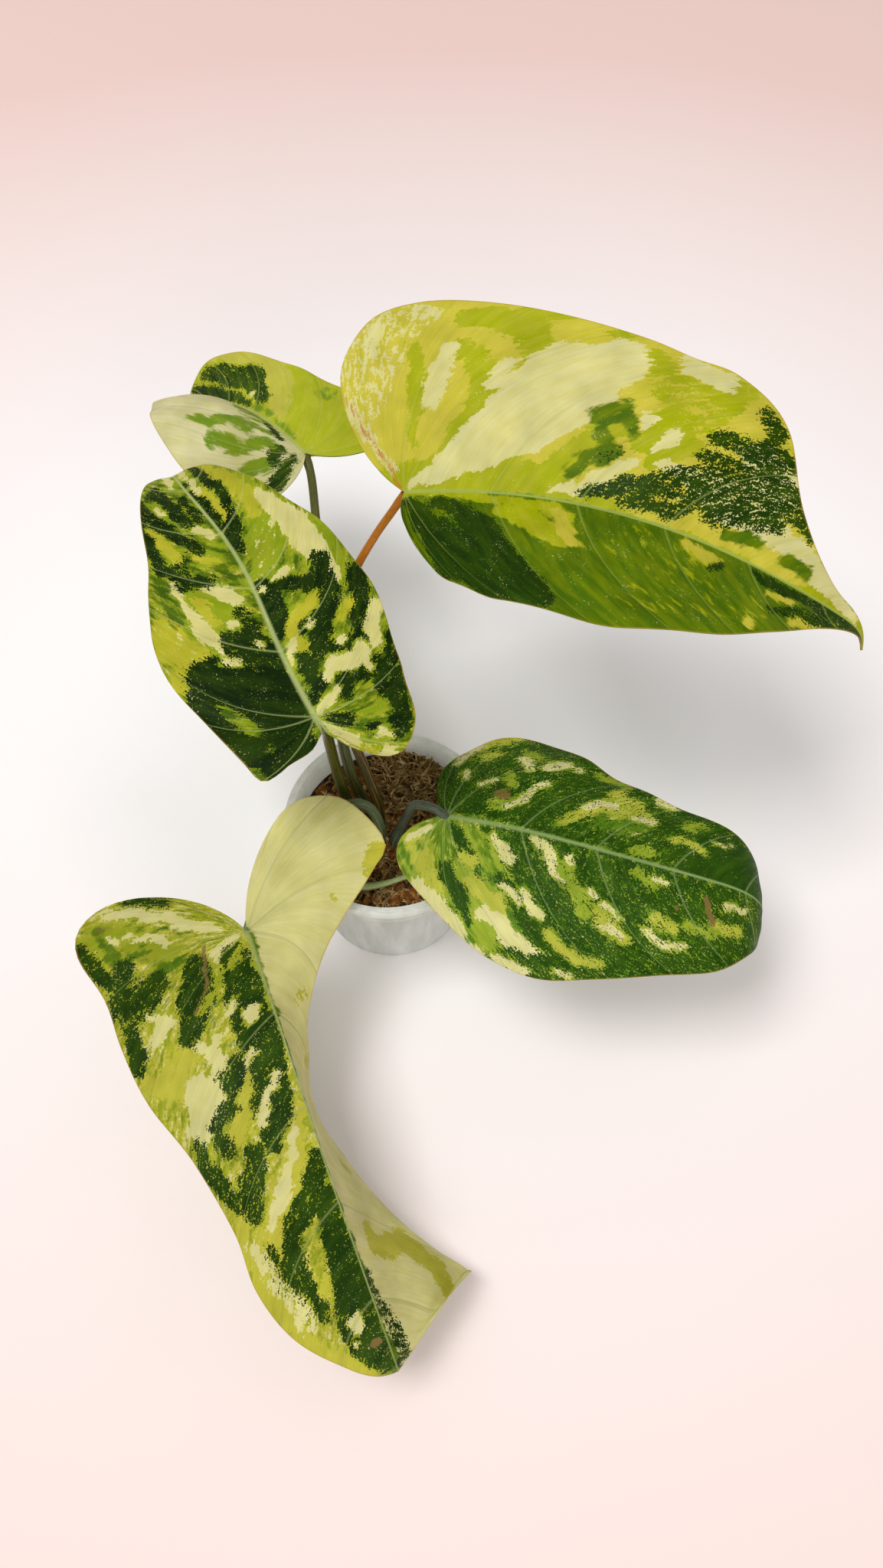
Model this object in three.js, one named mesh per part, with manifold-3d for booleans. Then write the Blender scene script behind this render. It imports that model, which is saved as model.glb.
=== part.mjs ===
// A potted variegated philodendron: five heart-shaped leaves on long stalks in a small clear pot.
// Millimetres, +Z up. The origin is the centre of the pot's flat underside.
import * as THREE from "three";
import { mergeVertices } from "three/addons/utils/BufferGeometryUtils.js";
import Module from "manifold-3d";

const wasm = await Module();
wasm.setup();

// The pot is a 100 mm nursery pot; the whole plant is scaled from its rim.
const POT = {
  height: 80,
  rimRadius: 50,
  neckRadius: 46, // outside, just under the lip
  baseRadius: 37.5,
  wall: 1.2,
  floor: 1.6,
  lipHeight: 4.5,
  lipWidth: 2.6, // the lip's top, from its outer edge to its inner slope
  edge: 0.6, // how far the corners are cut back
  sides: 48,
};
const DRAINS = { count: 4, circle: 20, radius: 1.8, sides: 12 };
const SOIL = { level: 70, shoulder: 1, lump: 1.1, rings: [0.86, 0.66, 0.44, 0.22], sectors: 36 };
const GAP = 0.3; // clearance between pieces that touch

// A stem stands straight in its hole in the soil, and meets its knuckle straight too.
const STEM = { depth: 14, inSoil: 8, aboveSoil: 2, beforeEnd: 6, sides: 10, holeSides: 24 };
const KNUCKLE = { underBlade: 1.4, topRadius: 0.9, steps: 4, sides: 12 };

const BLADE = {
  thickness: 0.8,
  lobeRows: 8,
  veinRows: 14,
  lean: 0.7, // how far a side vein runs forward for each mm it runs out
  bow: 0.08, // how much a vein bends along its way
  columns: [0, 0.07, 0.3, 0.55, 0.8, 1],
  ribDepth: 2.2, // extra depth under the midrib, at the joint
  ribTaper: 0.75, // the share of that depth that is gone at the tip
  waveTurn: 1.7, // radians of the margin's wave from one vein to the next
  marginSteps: 40, // fine steps between two of the margin's points
};

// Each leaf is drawn flat and then bent. Along the flat leaf s runs from the joint to the tip and t
// runs out to either side, so the lobes have negative s. turn is the way the leaf points, and
// heading, pitch, roll, fold and curl hold five values: at the lobes, the joint, one third, two
// thirds and the tip. Angles are in degrees, curl in degrees per 100 mm. left and right are as seen
// from above, looking toward the tip. A stalk's points are in the plant's own frame.
const LEAVES = {
  a: {
    joint: [9.5, 92, 205],
    length: 225,
    turn: -5,
    heading: [0, 0, -14, -13, -3],
    pitch: [0, 8, 4, -18, -40],
    roll: [12, 12, 12, 12, 12],
    tipBend: { from: 0.88, angle: 35 },
    left: {
      fold: [20, 20, 18, 15, 10],
      curl: [-10, -10, -10, -10, -10],
      wave: 1,
      margin: [
        [-21, 29], [-28, 45], [-26, 60], [-14, 77], [5, 83], [30, 82], [60, 79], [98, 72],
        [120, 71], [145, 57], [163, 30], [187, 11], [205, 5], [225, 0],
      ],
    },
    right: {
      fold: [20, 20, 20, 18, 14],
      curl: [-10, -10, -10, -10, -10],
      wave: 1,
      margin: [
        [5, 24], [16, 42], [33, 55], [60, 61], [95, 62], [120, 55], [145, 43], [165, 30],
        [187, 14], [205, 5], [225, 0],
      ],
    },
    stalk: {
      foot: [-4, 3],
      through: [
        [-5, 7, 84], [-10, 13.5, 104], [-16, 24, 122], [-19, 47, 138], [-18, 68, 150],
        [-14.3, 82, 162], [-5, 89, 178],
      ],
      end: [4.5, 90.5, 195],
      radius: [2.9, 2.1, 1.7],
    },
  },
  b: {
    joint: [-41.8, 167, 153],
    length: 112,
    turn: 132,
    heading: [0, 0, 0, 10, 20],
    pitch: [0, 4, -12, -34, -48],
    roll: [0, 0, 5, 10, 10],
    tipBend: { from: 0.85, angle: 0 },
    left: {
      fold: [5, 15, 42, 50, 45],
      curl: [-50, -60, -110, -130, -130],
      wave: 0.8,
      margin: [
        [-6, 11], [-14, 30], [-7, 43], [10, 54], [28, 59], [50, 57], [67, 48], [82, 33],
        [98, 16], [112, 0],
      ],
    },
    right: {
      fold: [10, 10, 18, 46, 64],
      curl: [-20, -20, -20, -20, -20],
      wave: 0.8,
      margin: [
        [-11, 19], [-22, 26], [-18, 35], [-6, 42], [6, 43], [21, 40], [36, 36], [58, 31],
        [80, 29], [94, 24], [105, 12], [112, 0],
      ],
    },
    stalk: {
      foot: [-9, 9],
      through: [[-14, 13, 82], [-18.5, 19.5, 98], [-22, 32, 112], [-28, 72, 130], [-34.5, 122, 141]],
      end: [-38.5, 154, 147.5],
      radius: [2.9, 2.5, 2],
    },
  },
  c: {
    joint: [-27, 0, 170],
    length: 170,
    turn: 120,
    heading: [0, 0, -7, 5, -6],
    pitch: [5, 8, 6, -2, -30],
    roll: [0, 0, 0, 0, 0],
    tipBend: { from: 0.85, angle: 40 },
    left: {
      fold: [5, 5, 5, 5, 5],
      curl: [-20, -20, -20, -20, -20],
      wave: 1.2,
      margin: [
        [-8, 1], [-14, 9], [-15, 20], [-16, 32], [-4, 36], [18, 42], [43, 49], [73, 46],
        [110, 33], [140, 21], [158, 10], [170, 0],
      ],
    },
    right: {
      fold: [5, 5, 5, 5, 5],
      curl: [-20, -20, -20, -20, -20],
      wave: 1.2,
      margin: [
        [-6, 1], [-21, 8], [-30, 17], [-30, 27], [-20, 37], [-4, 41], [11, 45], [43, 49],
        [74, 45], [104, 35], [138, 23], [160, 9], [170, 0],
      ],
    },
    stalk: {
      foot: [-16, 5],
      through: [[-19.5, 8, 84], [-23, 10.5, 108], [-24.5, 10, 135], [-24, 5, 152]],
      end: [-24.5, 1.5, 161.5],
      radius: [3, 2.5, 2.2],
    },
  },
  d: {
    joint: [28, -9, 100],
    length: 176,
    turn: -14,
    heading: [0, 0, -3, 0, 8],
    pitch: [0, 8, 0, -8, -40],
    roll: [0, 0, 0, 0, 0],
    tipBend: { from: 0.72, angle: 60 },
    left: {
      fold: [-5, -5, -5, -5, -5],
      curl: [-25, -25, -25, -25, -25],
      wave: 1.2,
      margin: [
        [-8, 12], [-9, 24], [-4, 39], [10, 52], [30, 58], [52, 52], [73, 44], [94, 38],
        [120, 34], [145, 27], [163, 13], [176, 0],
      ],
    },
    right: {
      fold: [-5, -5, -8, -8, -5],
      curl: [-25, -25, -25, -25, -25],
      wave: 1.2,
      margin: [
        [-8, 3], [-18, 13], [-18, 25], [-8, 36], [15, 52], [35, 61], [60, 64], [85, 57],
        [110, 48], [135, 39], [154, 25], [168, 11], [176, 0],
      ],
    },
    stalk: {
      foot: [3, -7],
      through: [[6.5, -4.8, 81], [9.8, -2.6, 88.5], [12.8, -1, 95.5]],
      end: [21.8, -4.8, 99.6],
      radius: [3, 2.5, 2.2],
    },
  },
  e: {
    joint: [-61.8, -61.3, 88],
    length: 208,
    turn: -67,
    heading: [0, 0, -2, -1, -1],
    pitch: [0, 6, -8, -22, -35],
    roll: [0, 0, 0, 0, 0],
    tipBend: { from: 0.9, angle: 60 },
    left: {
      fold: [24, 3, -82, -67, -30],
      curl: [0, 0, 0, 0, 0],
      wave: 0.6,
      margin: [
        [-30, 18], [-44, 31], [-48, 46], [-40, 62], [-26, 70], [-10, 73], [-3, 63], [9, 43],
        [19, 31], [32, 24], [50, 24], [76, 38], [102, 48], [130, 44], [153, 47], [172, 52],
        [191, 57], [202, 33], [208, 0],
      ],
    },
    right: {
      fold: [0, 0, 0, 0, 0],
      curl: [-10, -10, -10, -10, -10],
      wave: 1.2,
      margin: [
        [-16, 13], [-27, 24], [-38, 40], [-41, 58], [-34, 71], [-20, 74], [5, 68], [30, 67],
        [60, 62], [93, 50], [122, 44], [146, 43], [170, 35], [190, 18], [208, 0],
      ],
    },
    stalk: {
      foot: [-4, -5],
      through: [[-4.5, -2.5, 82], [-9, 1, 90], [-18, 0, 94.5], [-38, -8, 92.5], [-55, -26, 86]],
      end: [-60.5, -49, 82.5],
      radius: [3, 2.5, 2.2],
    },
  },
};

// A pale new shoot that lies across the soil at the front.
const SHOOT = {
  foot: [-16, -33],
  through: [[-12.5, -33, 74.3], [-7, -32.5, 74.2], [1, -30.5, 74]],
  end: [12, -26.5, 74.2],
  endDirection: [0.94, 0.34, 0],
  radius: [2, 1.9, 1.1],
  steps: 14,
};
const STALK_STEPS = 20;

// Colour and roughness of each finish. None of them is a metal.
const FINISHES = {
  clearPlastic: { color: 0xdbdedb, roughness: 0.45, transparent: true, opacity: 0.55 },
  coir: { color: 0x6b4c2e, roughness: 0.95 },
  paleShoot: { color: 0xb3bd88, roughness: 0.5 },
  orangeStalk: { color: 0xac8045, roughness: 0.45 },
  greenStalk: { color: 0x59653f, roughness: 0.5 },
  limeLeaf: { color: 0xb5c159, roughness: 0.4 },
  darkLeaf: { color: 0x628640, roughness: 0.4 },
  paleLeaf: { color: 0xa9b469, roughness: 0.4 },
};
const LEAF_FINISH = { a: "limeLeaf", b: "limeLeaf", c: "darkLeaf", d: "darkLeaf", e: "paleLeaf" };

const rad = (degrees) => (degrees * Math.PI) / 180;
const clamp = (x, low, high) => Math.min(high, Math.max(low, x));
const ease = (x) => clamp(x, 0, 1) ** 2 * (3 - 2 * clamp(x, 0, 1));
const vec = (p) => new THREE.Vector3(...p);

// A smooth curve through evenly spaced values, read at position f.
function smooth(values, f) {
  const last = values.length - 1;
  const at = clamp(f, 0, last);
  const i = Math.min(Math.floor(at), last - 1);
  const u = at - i;
  const b = values[i];
  const c = values[i + 1];
  const a = i > 0 ? values[i - 1] : 2 * b - c;
  const d = i + 2 <= last ? values[i + 2] : 2 * c - b;
  return 0.5 * (2 * b + (c - a) * u + (2 * a - 5 * b + 4 * c - d) * u * u
    + (3 * b - a - 3 * c + d) * u ** 3);
}

// A geometry's shape as a closed solid: equal corners are merged, and empty triangles left out.
function solidOf(geometry) {
  const bare = new THREE.BufferGeometry();
  bare.setAttribute("position", geometry.getAttribute("position"));
  bare.setIndex(geometry.getIndex());
  const merged = mergeVertices(bare, 1e-3);
  const corners = merged.getIndex().array;
  const triangles = [];
  for (let i = 0; i < corners.length; i += 3) {
    const [a, b, c] = corners.slice(i, i + 3);
    if (a !== b && b !== c && c !== a) triangles.push(a, b, c);
  }
  return new wasm.Manifold(new wasm.Mesh({
    numProp: 3,
    vertProperties: new Float32Array(merged.getAttribute("position").array),
    triVerts: new Uint32Array(triangles),
  }));
}

function geometryOf(solid) {
  const { vertProperties, triVerts } = solid.getMesh();
  const geometry = new THREE.BufferGeometry();
  geometry.setAttribute("position", new THREE.BufferAttribute(new Float32Array(vertProperties), 3));
  geometry.setIndex(new THREE.BufferAttribute(new Uint32Array(triVerts), 1));
  return geometry;
}

function namedMesh(name, geometry, finish) {
  geometry.computeVertexNormals();
  const material = new THREE.MeshStandardMaterial({ ...FINISHES[finish], metalness: 0 });
  const mesh = new THREE.Mesh(geometry, material);
  mesh.name = name;
  return mesh;
}

// Triangles that are given by their corner points.
class Faces {
  constructor() {
    this.corners = [];
  }
  triangle(a, b, c) {
    for (const p of [a, b, c]) this.corners.push(p.x, p.y, p.z);
  }
  quad(a, b, c, d) {
    this.triangle(a, b, c);
    this.triangle(a, c, d);
  }
  geometry() {
    const geometry = new THREE.BufferGeometry();
    geometry.setAttribute("position", new THREE.Float32BufferAttribute(this.corners, 3));
    return geometry;
  }
}

// A closed shape turned round the Z axis from [radius, z] pairs that start and end on the axis.
function turned(profile, sides) {
  const points = profile.map(([r, z]) => new THREE.Vector2(r, z));
  return new THREE.LatheGeometry(points, sides).rotateX(Math.PI / 2);
}

// A round bar along a smooth path. radius holds values from its start to its end.
function bar(path, radius, { steps, sides }, startDirection, endDirection) {
  const curve = new THREE.CatmullRomCurve3(path, false, "catmullrom", 0.5);
  const centres = Array.from({ length: steps + 1 }, (_, i) => curve.getPoint(i / steps));
  const side = new THREE.Vector3(1, 0, 0);
  const rings = centres.map((centre, i) => {
    const along = centres[Math.min(i + 1, steps)].clone().sub(centres[Math.max(i - 1, 0)]).normalize();
    if (i === 0) along.copy(startDirection);
    if (i === steps) along.copy(endDirection);
    side.addScaledVector(along, -side.dot(along)).normalize();
    const other = along.clone().cross(side);
    const r = smooth(radius, (i / steps) * (radius.length - 1));
    return Array.from({ length: sides }, (_, k) => {
      const angle = (k / sides) * 2 * Math.PI;
      return centre.clone()
        .addScaledVector(side, r * Math.cos(angle))
        .addScaledVector(other, r * Math.sin(angle));
    });
  });
  const faces = new Faces();
  for (let k = 0; k < sides; k++) {
    const n = (k + 1) % sides;
    for (let i = 0; i < steps; i++) {
      faces.quad(rings[i][k], rings[i][n], rings[i + 1][n], rings[i + 1][k]);
    }
    faces.triangle(centres[0], rings[0][n], rings[0][k]);
    faces.triangle(centres[steps], rings[steps][k], rings[steps][n]);
  }
  return faces.geometry();
}

// The bent leaf, with its joint at the origin: a line of frames along the midrib, one for each
// mm, and a way from flat (s, t) to a point in space.
class Leaf {
  constructor(drawing) {
    this.drawing = drawing;
    const { length } = drawing;
    this.first = -Math.ceil(length / 2);
    this.frames = [];
    for (let s = this.first; s <= length * 1.1; s++) this.frames.push(this.directions(s));
    for (let i = 1; i < this.frames.length; i++) {
      const before = this.frames[i - 1];
      const here = this.frames[i];
      here.centre.copy(before.centre).addScaledVector(before.along, 0.5).addScaledVector(here.along, 0.5);
    }
    const joint = this.frames[-this.first].centre.clone();
    for (const frame of this.frames) frame.centre.sub(joint);
  }
  // Where s lies among the five values of a profile.
  station(s) {
    return (s / this.drawing.length + 1 / 3) * 3;
  }
  directions(s) {
    const { length, heading, pitch, roll, tipBend } = this.drawing;
    const f = this.station(s);
    const bend = tipBend.angle * ease((s / length - tipBend.from) / (1 - tipBend.from));
    const h = rad(smooth(heading, f));
    const p = rad(smooth(pitch, f) - bend);
    const r = rad(smooth(roll, f));
    const along = vec([Math.cos(h) * Math.cos(p), Math.sin(h) * Math.cos(p), Math.sin(p)]);
    const level = vec([-Math.sin(h), Math.cos(h), 0]);
    const over = along.clone().cross(level);
    const side = level.multiplyScalar(Math.cos(r)).addScaledVector(over, Math.sin(r));
    const up = along.clone().cross(side);
    return { centre: new THREE.Vector3(), along, side, up };
  }
  frame(s) {
    const at = clamp(s - this.first, 0, this.frames.length - 1.001);
    const i = Math.floor(at);
    const [a, b] = [this.frames[i], this.frames[i + 1]];
    const mix = (key) => a[key].clone().lerp(b[key], at - i);
    return { centre: mix("centre"), side: mix("side"), up: mix("up") };
  }
  point(s, t, half) {
    const { centre, side, up } = this.frame(s);
    const fold = rad(smooth(half.fold, this.station(s)));
    const curl = rad(smooth(half.curl, this.station(s))) / 100 || 1e-6;
    const out = (Math.sin(fold + curl * t) - Math.sin(fold)) / curl;
    const rise = (Math.cos(fold) - Math.cos(fold + curl * t)) / curl;
    const sign = half === this.drawing.left ? 1 : -1;
    return centre.addScaledVector(side, sign * out).addScaledVector(up, rise);
  }
  normal(s, t, half) {
    const along = this.point(s + 0.5, t, half).sub(this.point(s - 0.5, t, half));
    const out = this.point(s, t + 0.5, half).sub(this.point(s, Math.max(t - 0.5, 0), half));
    const n = along.cross(out).normalize();
    return half === this.drawing.left ? n : n.negate();
  }
  // The normal at the midrib, where the two halves meet.
  ridgeNormal(s) {
    const { left, right } = this.drawing;
    return this.normal(s, 0, left).add(this.normal(s, 0, right)).normalize();
  }
  // Fine points along the margin, each with the s where its side vein leaves the midrib.
  margin(half) {
    const stretches = half.margin.length - 1;
    const steps = BLADE.marginSteps * stretches;
    const points = [];
    let travelled = 0;
    for (let i = 0; i <= steps; i++) {
      const f = (i / steps) * stretches;
      const s = smooth(half.margin.map((p) => p[0]), f);
      const t = Math.max(smooth(half.margin.map((p) => p[1]), f), 0);
      if (i > 0) travelled += Math.hypot(s - points[i - 1].s, t - points[i - 1].t);
      points.push({ s, t, from: s - BLADE.lean * t, travelled });
    }
    return points;
  }
  // The flat ends of each row: on the midrib, and at s and t on the margin. The lobe rows fan out
  // from the joint, and the vein rows lie side by side.
  rows(half) {
    const { length } = this.drawing;
    const { lobeRows, veinRows } = BLADE;
    const margin = this.margin(half);
    const crossing = margin.findLastIndex((p) => p.from <= 0);
    const rows = [];
    for (let k = 0; k < lobeRows; k++) {
      const goal = (margin[crossing].travelled * k) / lobeRows;
      const { s, t } = margin.find((p) => p.travelled >= goal);
      rows.push({ inner: 0, s, t });
    }
    for (let k = 0; k < veinRows; k++) {
      const inner = (length * k) / veinRows;
      const { s, t } = margin.slice(crossing).find((p) => p.from >= inner) || margin.at(-1);
      rows.push({ inner, s, t });
    }
    rows.push({ inner: length, s: length, t: 0 });
    return rows;
  }
  // The upper and lower point at a share v of the way along a row.
  rowPoints(row, i, v, half) {
    const { thickness, ribDepth, ribTaper, bow, waveTurn } = BLADE;
    const { length } = this.drawing;
    const ds = row.s - row.inner;
    const arch = 4 * v * (1 - v) * bow;
    const s = row.inner + ds * v - row.t * arch;
    const t = Math.max(row.t * v + ds * arch, 0);
    const n = t === 0 ? this.ridgeNormal(s) : this.normal(s, t, half);
    const wave = half.wave * v * v * Math.sin(i * waveTurn + length) * ease(1 - row.inner / length);
    const upper = this.point(s, t, half).addScaledVector(n, wave);
    const rib = v === 0 ? ribDepth * (1 - ribTaper * clamp(s / length, 0, 1)) : 0;
    return { upper, lower: upper.clone().addScaledVector(n, -(thickness + rib)) };
  }
  grid(half) {
    return this.rows(half).map((row, i) => BLADE.columns.map((v) => this.rowPoints(row, i, v, half)));
  }
  geometry() {
    const faces = new Faces();
    const { left, right } = this.drawing;
    const last = BLADE.columns.length - 1;
    for (const half of [left, right]) {
      const grid = this.grid(half);
      const put = (a, b, c, d) => (half === right ? faces.quad(a, d, c, b) : faces.quad(a, b, c, d));
      for (let i = 0; i + 1 < grid.length; i++) {
        const [low, high] = [grid[i], grid[i + 1]];
        for (let j = 0; j < last; j++) {
          put(low[j].upper, high[j].upper, high[j + 1].upper, low[j + 1].upper);
          put(low[j + 1].lower, high[j + 1].lower, high[j].lower, low[j].lower);
        }
        put(low[last].upper, high[last].upper, high[last].lower, low[last].lower);
      }
      for (let j = 0; j < last; j++) {
        put(grid[0][j].upper, grid[0][j + 1].upper, grid[0][j + 1].lower, grid[0][j].lower);
      }
    }
    return faces.geometry();
  }
}

// A stem that stands in the soil: straight up at its foot, and straight into its end.
function stem(name, drawing, endDirection, steps, finish) {
  const { foot: [x, y], through, end, radius } = drawing;
  const base = vec([x, y, SOIL.level - STEM.depth + GAP]);
  const path = [
    base,
    vec([x, y, SOIL.level - STEM.depth + STEM.inSoil]),
    vec([x, y, SOIL.level + STEM.aboveSoil]),
    ...through.map(vec),
    vec(end).addScaledVector(endDirection, -STEM.beforeEnd),
    vec(end),
  ].map((p) => p.clone().sub(base));
  const geometry = bar(path, radius, { steps, sides: STEM.sides }, vec([0, 0, 1]), endDirection);
  const mesh = namedMesh(name, geometry, finish);
  mesh.position.copy(base);
  return mesh;
}

// A blade with the knuckle that joins it to its stalk, turned and set at its joint, and the stalk.
function leafOnStalk(letter, drawing) {
  const leaf = new Leaf(drawing);
  const place = new THREE.Group();
  place.position.set(...drawing.joint);
  place.rotation.z = rad(drawing.turn);
  place.updateMatrixWorld();

  const end = place.worldToLocal(vec(drawing.stalk.end));
  const top = leaf.ridgeNormal(0).multiplyScalar(-KNUCKLE.underBlade);
  const along = top.clone().sub(end).normalize();
  const seat = end.addScaledVector(along, GAP);
  const stalkRadius = drawing.stalk.radius.at(-1);
  const radii = [stalkRadius, stalkRadius, KNUCKLE.topRadius];
  const knuckle = bar([seat, seat.clone().lerp(top, 0.5), top], radii, KNUCKLE, along, along);
  const blade = solidOf(leaf.geometry()).add(solidOf(knuckle));
  place.add(namedMesh("blade_" + letter, geometryOf(blade), LEAF_FINISH[letter]));

  const endDirection = along.clone().applyQuaternion(place.quaternion);
  const finish = letter === "a" ? "orangeStalk" : "greenStalk";
  const stalk = stem("stalk_" + letter, drawing.stalk, endDirection, STALK_STEPS, finish);
  const group = new THREE.Group();
  group.add(place, stalk);
  return group;
}

const innerBase = POT.baseRadius - POT.wall;
const innerNeck = POT.neckRadius - POT.wall;
const lipBottom = POT.height - POT.lipHeight;
const slopeTop = lipBottom - 1; // where the inner wall runs into the lip's inner slope

// The radius of the pot's inner wall at a height.
function innerRadius(z) {
  return innerBase + ((innerNeck - innerBase) * (z - POT.floor)) / (slopeTop - POT.floor);
}

function pot() {
  const { height, rimRadius, neckRadius, baseRadius, floor, lipWidth, edge, sides } = POT;
  const lipInner = rimRadius - edge - lipWidth;
  let solid = solidOf(turned([
    [0, 0],
    [baseRadius - edge, 0],
    [baseRadius, edge],
    [neckRadius, lipBottom],
    [rimRadius - edge, lipBottom],
    [rimRadius, lipBottom + edge],
    [rimRadius, height - edge],
    [rimRadius - edge, height],
    [lipInner, height],
    [lipInner - edge, height - 2 * edge],
    [innerNeck, slopeTop],
    [innerBase, floor],
    [0, floor],
  ], sides));
  const drain = new THREE.CylinderGeometry(DRAINS.radius, DRAINS.radius, 3 * floor, DRAINS.sides);
  drain.rotateX(Math.PI / 2).translate(DRAINS.circle, 0, floor / 2).rotateZ(Math.PI / DRAINS.count);
  for (let k = 0; k < DRAINS.count; k++) {
    solid = solid.subtract(solidOf(drain));
    drain.rotateZ((2 * Math.PI) / DRAINS.count);
  }
  return namedMesh("pot", geometryOf(solid), "clearPlastic");
}

// The soil fills the pot to just under its lip, with a lumpy top and a plain hole for each stem.
function soil(stems) {
  const { level, shoulder, lump, rings, sectors } = SOIL;
  const bottom = POT.floor + GAP;
  const edge = innerRadius(level - shoulder) - GAP;
  const shape = turned([
    [0, 0],
    [innerRadius(bottom) - GAP, 0],
    [edge, level - shoulder - bottom],
    ...rings.map((share) => [edge * share, level - bottom]),
    [0, level - bottom],
  ], sectors);
  const points = shape.getAttribute("position");
  for (let i = 0; i < points.count; i++) {
    const [x, y, z] = [points.getX(i), points.getY(i), points.getZ(i)];
    const height = lump * (Math.sin(x * 0.31 + 1) * Math.sin(y * 0.27 + 2)
      + 0.5 * Math.sin(x * 0.63 + y * 0.41) + 0.4 * Math.sin(y * 0.71 - x * 0.37 + 1));
    if (z > level - shoulder / 2 - bottom) points.setZ(i, z + height);
  }
  let solid = solidOf(shape);
  for (const { foot: [x, y], radius } of stems) {
    const r = (radius[0] + GAP) / Math.cos(Math.PI / STEM.holeSides);
    const hole = new THREE.CylinderGeometry(r, r, 2 * STEM.depth, STEM.holeSides);
    hole.rotateX(Math.PI / 2).translate(x, y, level - bottom);
    solid = solid.subtract(solidOf(hole));
  }
  const mesh = namedMesh("soil", geometryOf(solid), "coir");
  mesh.position.z = bottom;
  return mesh;
}

const plant = new THREE.Group();
plant.name = "potted_philodendron";
plant.add(pot());
plant.add(soil([...Object.values(LEAVES).map((leaf) => leaf.stalk), SHOOT]));
for (const [letter, drawing] of Object.entries(LEAVES)) plant.add(leafOnStalk(letter, drawing));
plant.add(stem("shoot", SHOOT, vec(SHOOT.endDirection), SHOOT.steps, "paleShoot"));

export default plant;
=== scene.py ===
"""A potted variegated philodendron: five heart-shaped leaves in a small clear pot of coir.

Sizes are in millimetres and are turned to metres by MM where a mesh is made.
"""
import math
import random

import bmesh
import bpy
import numpy as np
from mathutils import Matrix, Vector, noise


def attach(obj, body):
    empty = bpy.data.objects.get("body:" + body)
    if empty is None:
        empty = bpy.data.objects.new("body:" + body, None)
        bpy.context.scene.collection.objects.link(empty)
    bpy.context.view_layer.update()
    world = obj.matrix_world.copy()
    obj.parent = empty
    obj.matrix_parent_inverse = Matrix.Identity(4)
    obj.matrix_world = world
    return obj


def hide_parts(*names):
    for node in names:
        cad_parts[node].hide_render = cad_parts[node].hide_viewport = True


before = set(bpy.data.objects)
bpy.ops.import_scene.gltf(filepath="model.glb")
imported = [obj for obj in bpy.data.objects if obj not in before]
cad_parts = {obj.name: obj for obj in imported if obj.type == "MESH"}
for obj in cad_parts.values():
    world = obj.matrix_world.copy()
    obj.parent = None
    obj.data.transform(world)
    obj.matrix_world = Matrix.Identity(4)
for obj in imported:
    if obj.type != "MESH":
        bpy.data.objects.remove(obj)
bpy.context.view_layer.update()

MM = 0.001

# The photograph's camera: its focal length in pixels of the 1153 by 2048 frame, and its place.
PHOTO_HEIGHT = 2048
FOCAL_PIXELS = 1600
SENSOR_HEIGHT = 36
CAMERA_PLACE = (25.6, -279, 597)
CAMERA_TILT = 30  # degrees from straight down

# The lamps' power in watts, their size in metres and the way to them from the plant.
LAMPS = {"key": (57, 1.3, (-0.35, -0.12, 1)), "fill": (36, 1.6, (0.25, -1, 0.5))}
LAMP_DISTANCE = 3.4
LAMP_TARGET = (0, 0, 0.1)
SKY = (1, 0.985, 0.98, 1)
SKY_STRENGTH = 0.5
FLOOR_WIDTH = 6

POT = {
    "height": 80, "rim_radius": 50, "neck_radius": 46, "base_radius": 37.5, "wall": 1.2, "floor": 1.6,
    "lip_height": 4.5, "recess": 1, "foot_width": 3.4, "bevel": 0.6, "step_heights": (58, 62), "step": 0.35,
    "rings": 3, "ring_spacing": 1.1, "ring_depth": 0.3,
}

# The coir's level at the pot's wall, and how deep the stems stand in it.
SOIL_LEVEL = 70
STEM_DEPTH = 14

# Loose fibres start within FIBRE_REACH of the pot's axis, end within FIBRE_EDGE of it, and have a
# point every FIBRE_STEP. One in TUFT_EVERY belongs to a tuft that stands up at the back.
FIBRES = 1700
FIBRE_REACH = 40
FIBRE_EDGE = 42.5
FIBRE_STEP = 1.3
TUFT = {"x": 14, "y": 27, "wide": 9, "deep": 7}
TUFT_EVERY = 4

# Husk chips, their reach, and the least and most of half their length, width and thickness.
CHIPS = 260
CHIP_REACH = 41
CHIP_SIZE = ((1.2, 4.2), (0.9, 2.4), (0.5, 1.3))

# A blade's thickness, and its mesh: rows across the lobes, mm between the rows beyond them, columns in
# each half, how they crowd toward the midrib, and how far the skin lies under the drawn surface.
BLADE_THICKNESS = 0.6
MARGIN_THICKNESS = 0.3
LOBE_ROWS = 32
ROW_SPACING = 1.6
HALF_COLUMNS = 40
CROWDING = 1.15
SKIN_DROP = 0.35

# The blade thins to its margin from THIN_FROM of the way out. The midrib stands out below it by
# RIB_HEIGHT at the joint and loses RIB_TAPER of that by the tip, with sides that fall off in RIB_REACH.
THIN_FROM = 0.85
RIB_HEIGHT = 2.2
RIB_TAPER = 0.75
RIB_REACH = 1.8

# The margin waves in LOBE_STEPS steps across a lobe and SIDE_STEPS along the rest of a half, each of
# WAVE_ANGLE radians. The bulges between the veins are full from QUILT_START mm outward.
LOBE_STEPS = 8
SIDE_STEPS = 14
WAVE_ANGLE = 1.7
QUILT_START = 12

# How the side veins run: they lean toward the tip by LEAN mm for each mm outward, and bow a little.
LEAN = 1.0
BOW = 0.1

# Doubled points closer than MERGE are merged, and edges sharper than these angles in degrees stay sharp.
MERGE = 0.001
SOFT_EDGE = 50
HARD_EDGE = 35

# The two halves of a leaf: the sign of t on each, and the other half.
SIGN = {"left": 1, "right": -1}
OTHER = {"left": "right", "right": "left"}

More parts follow.
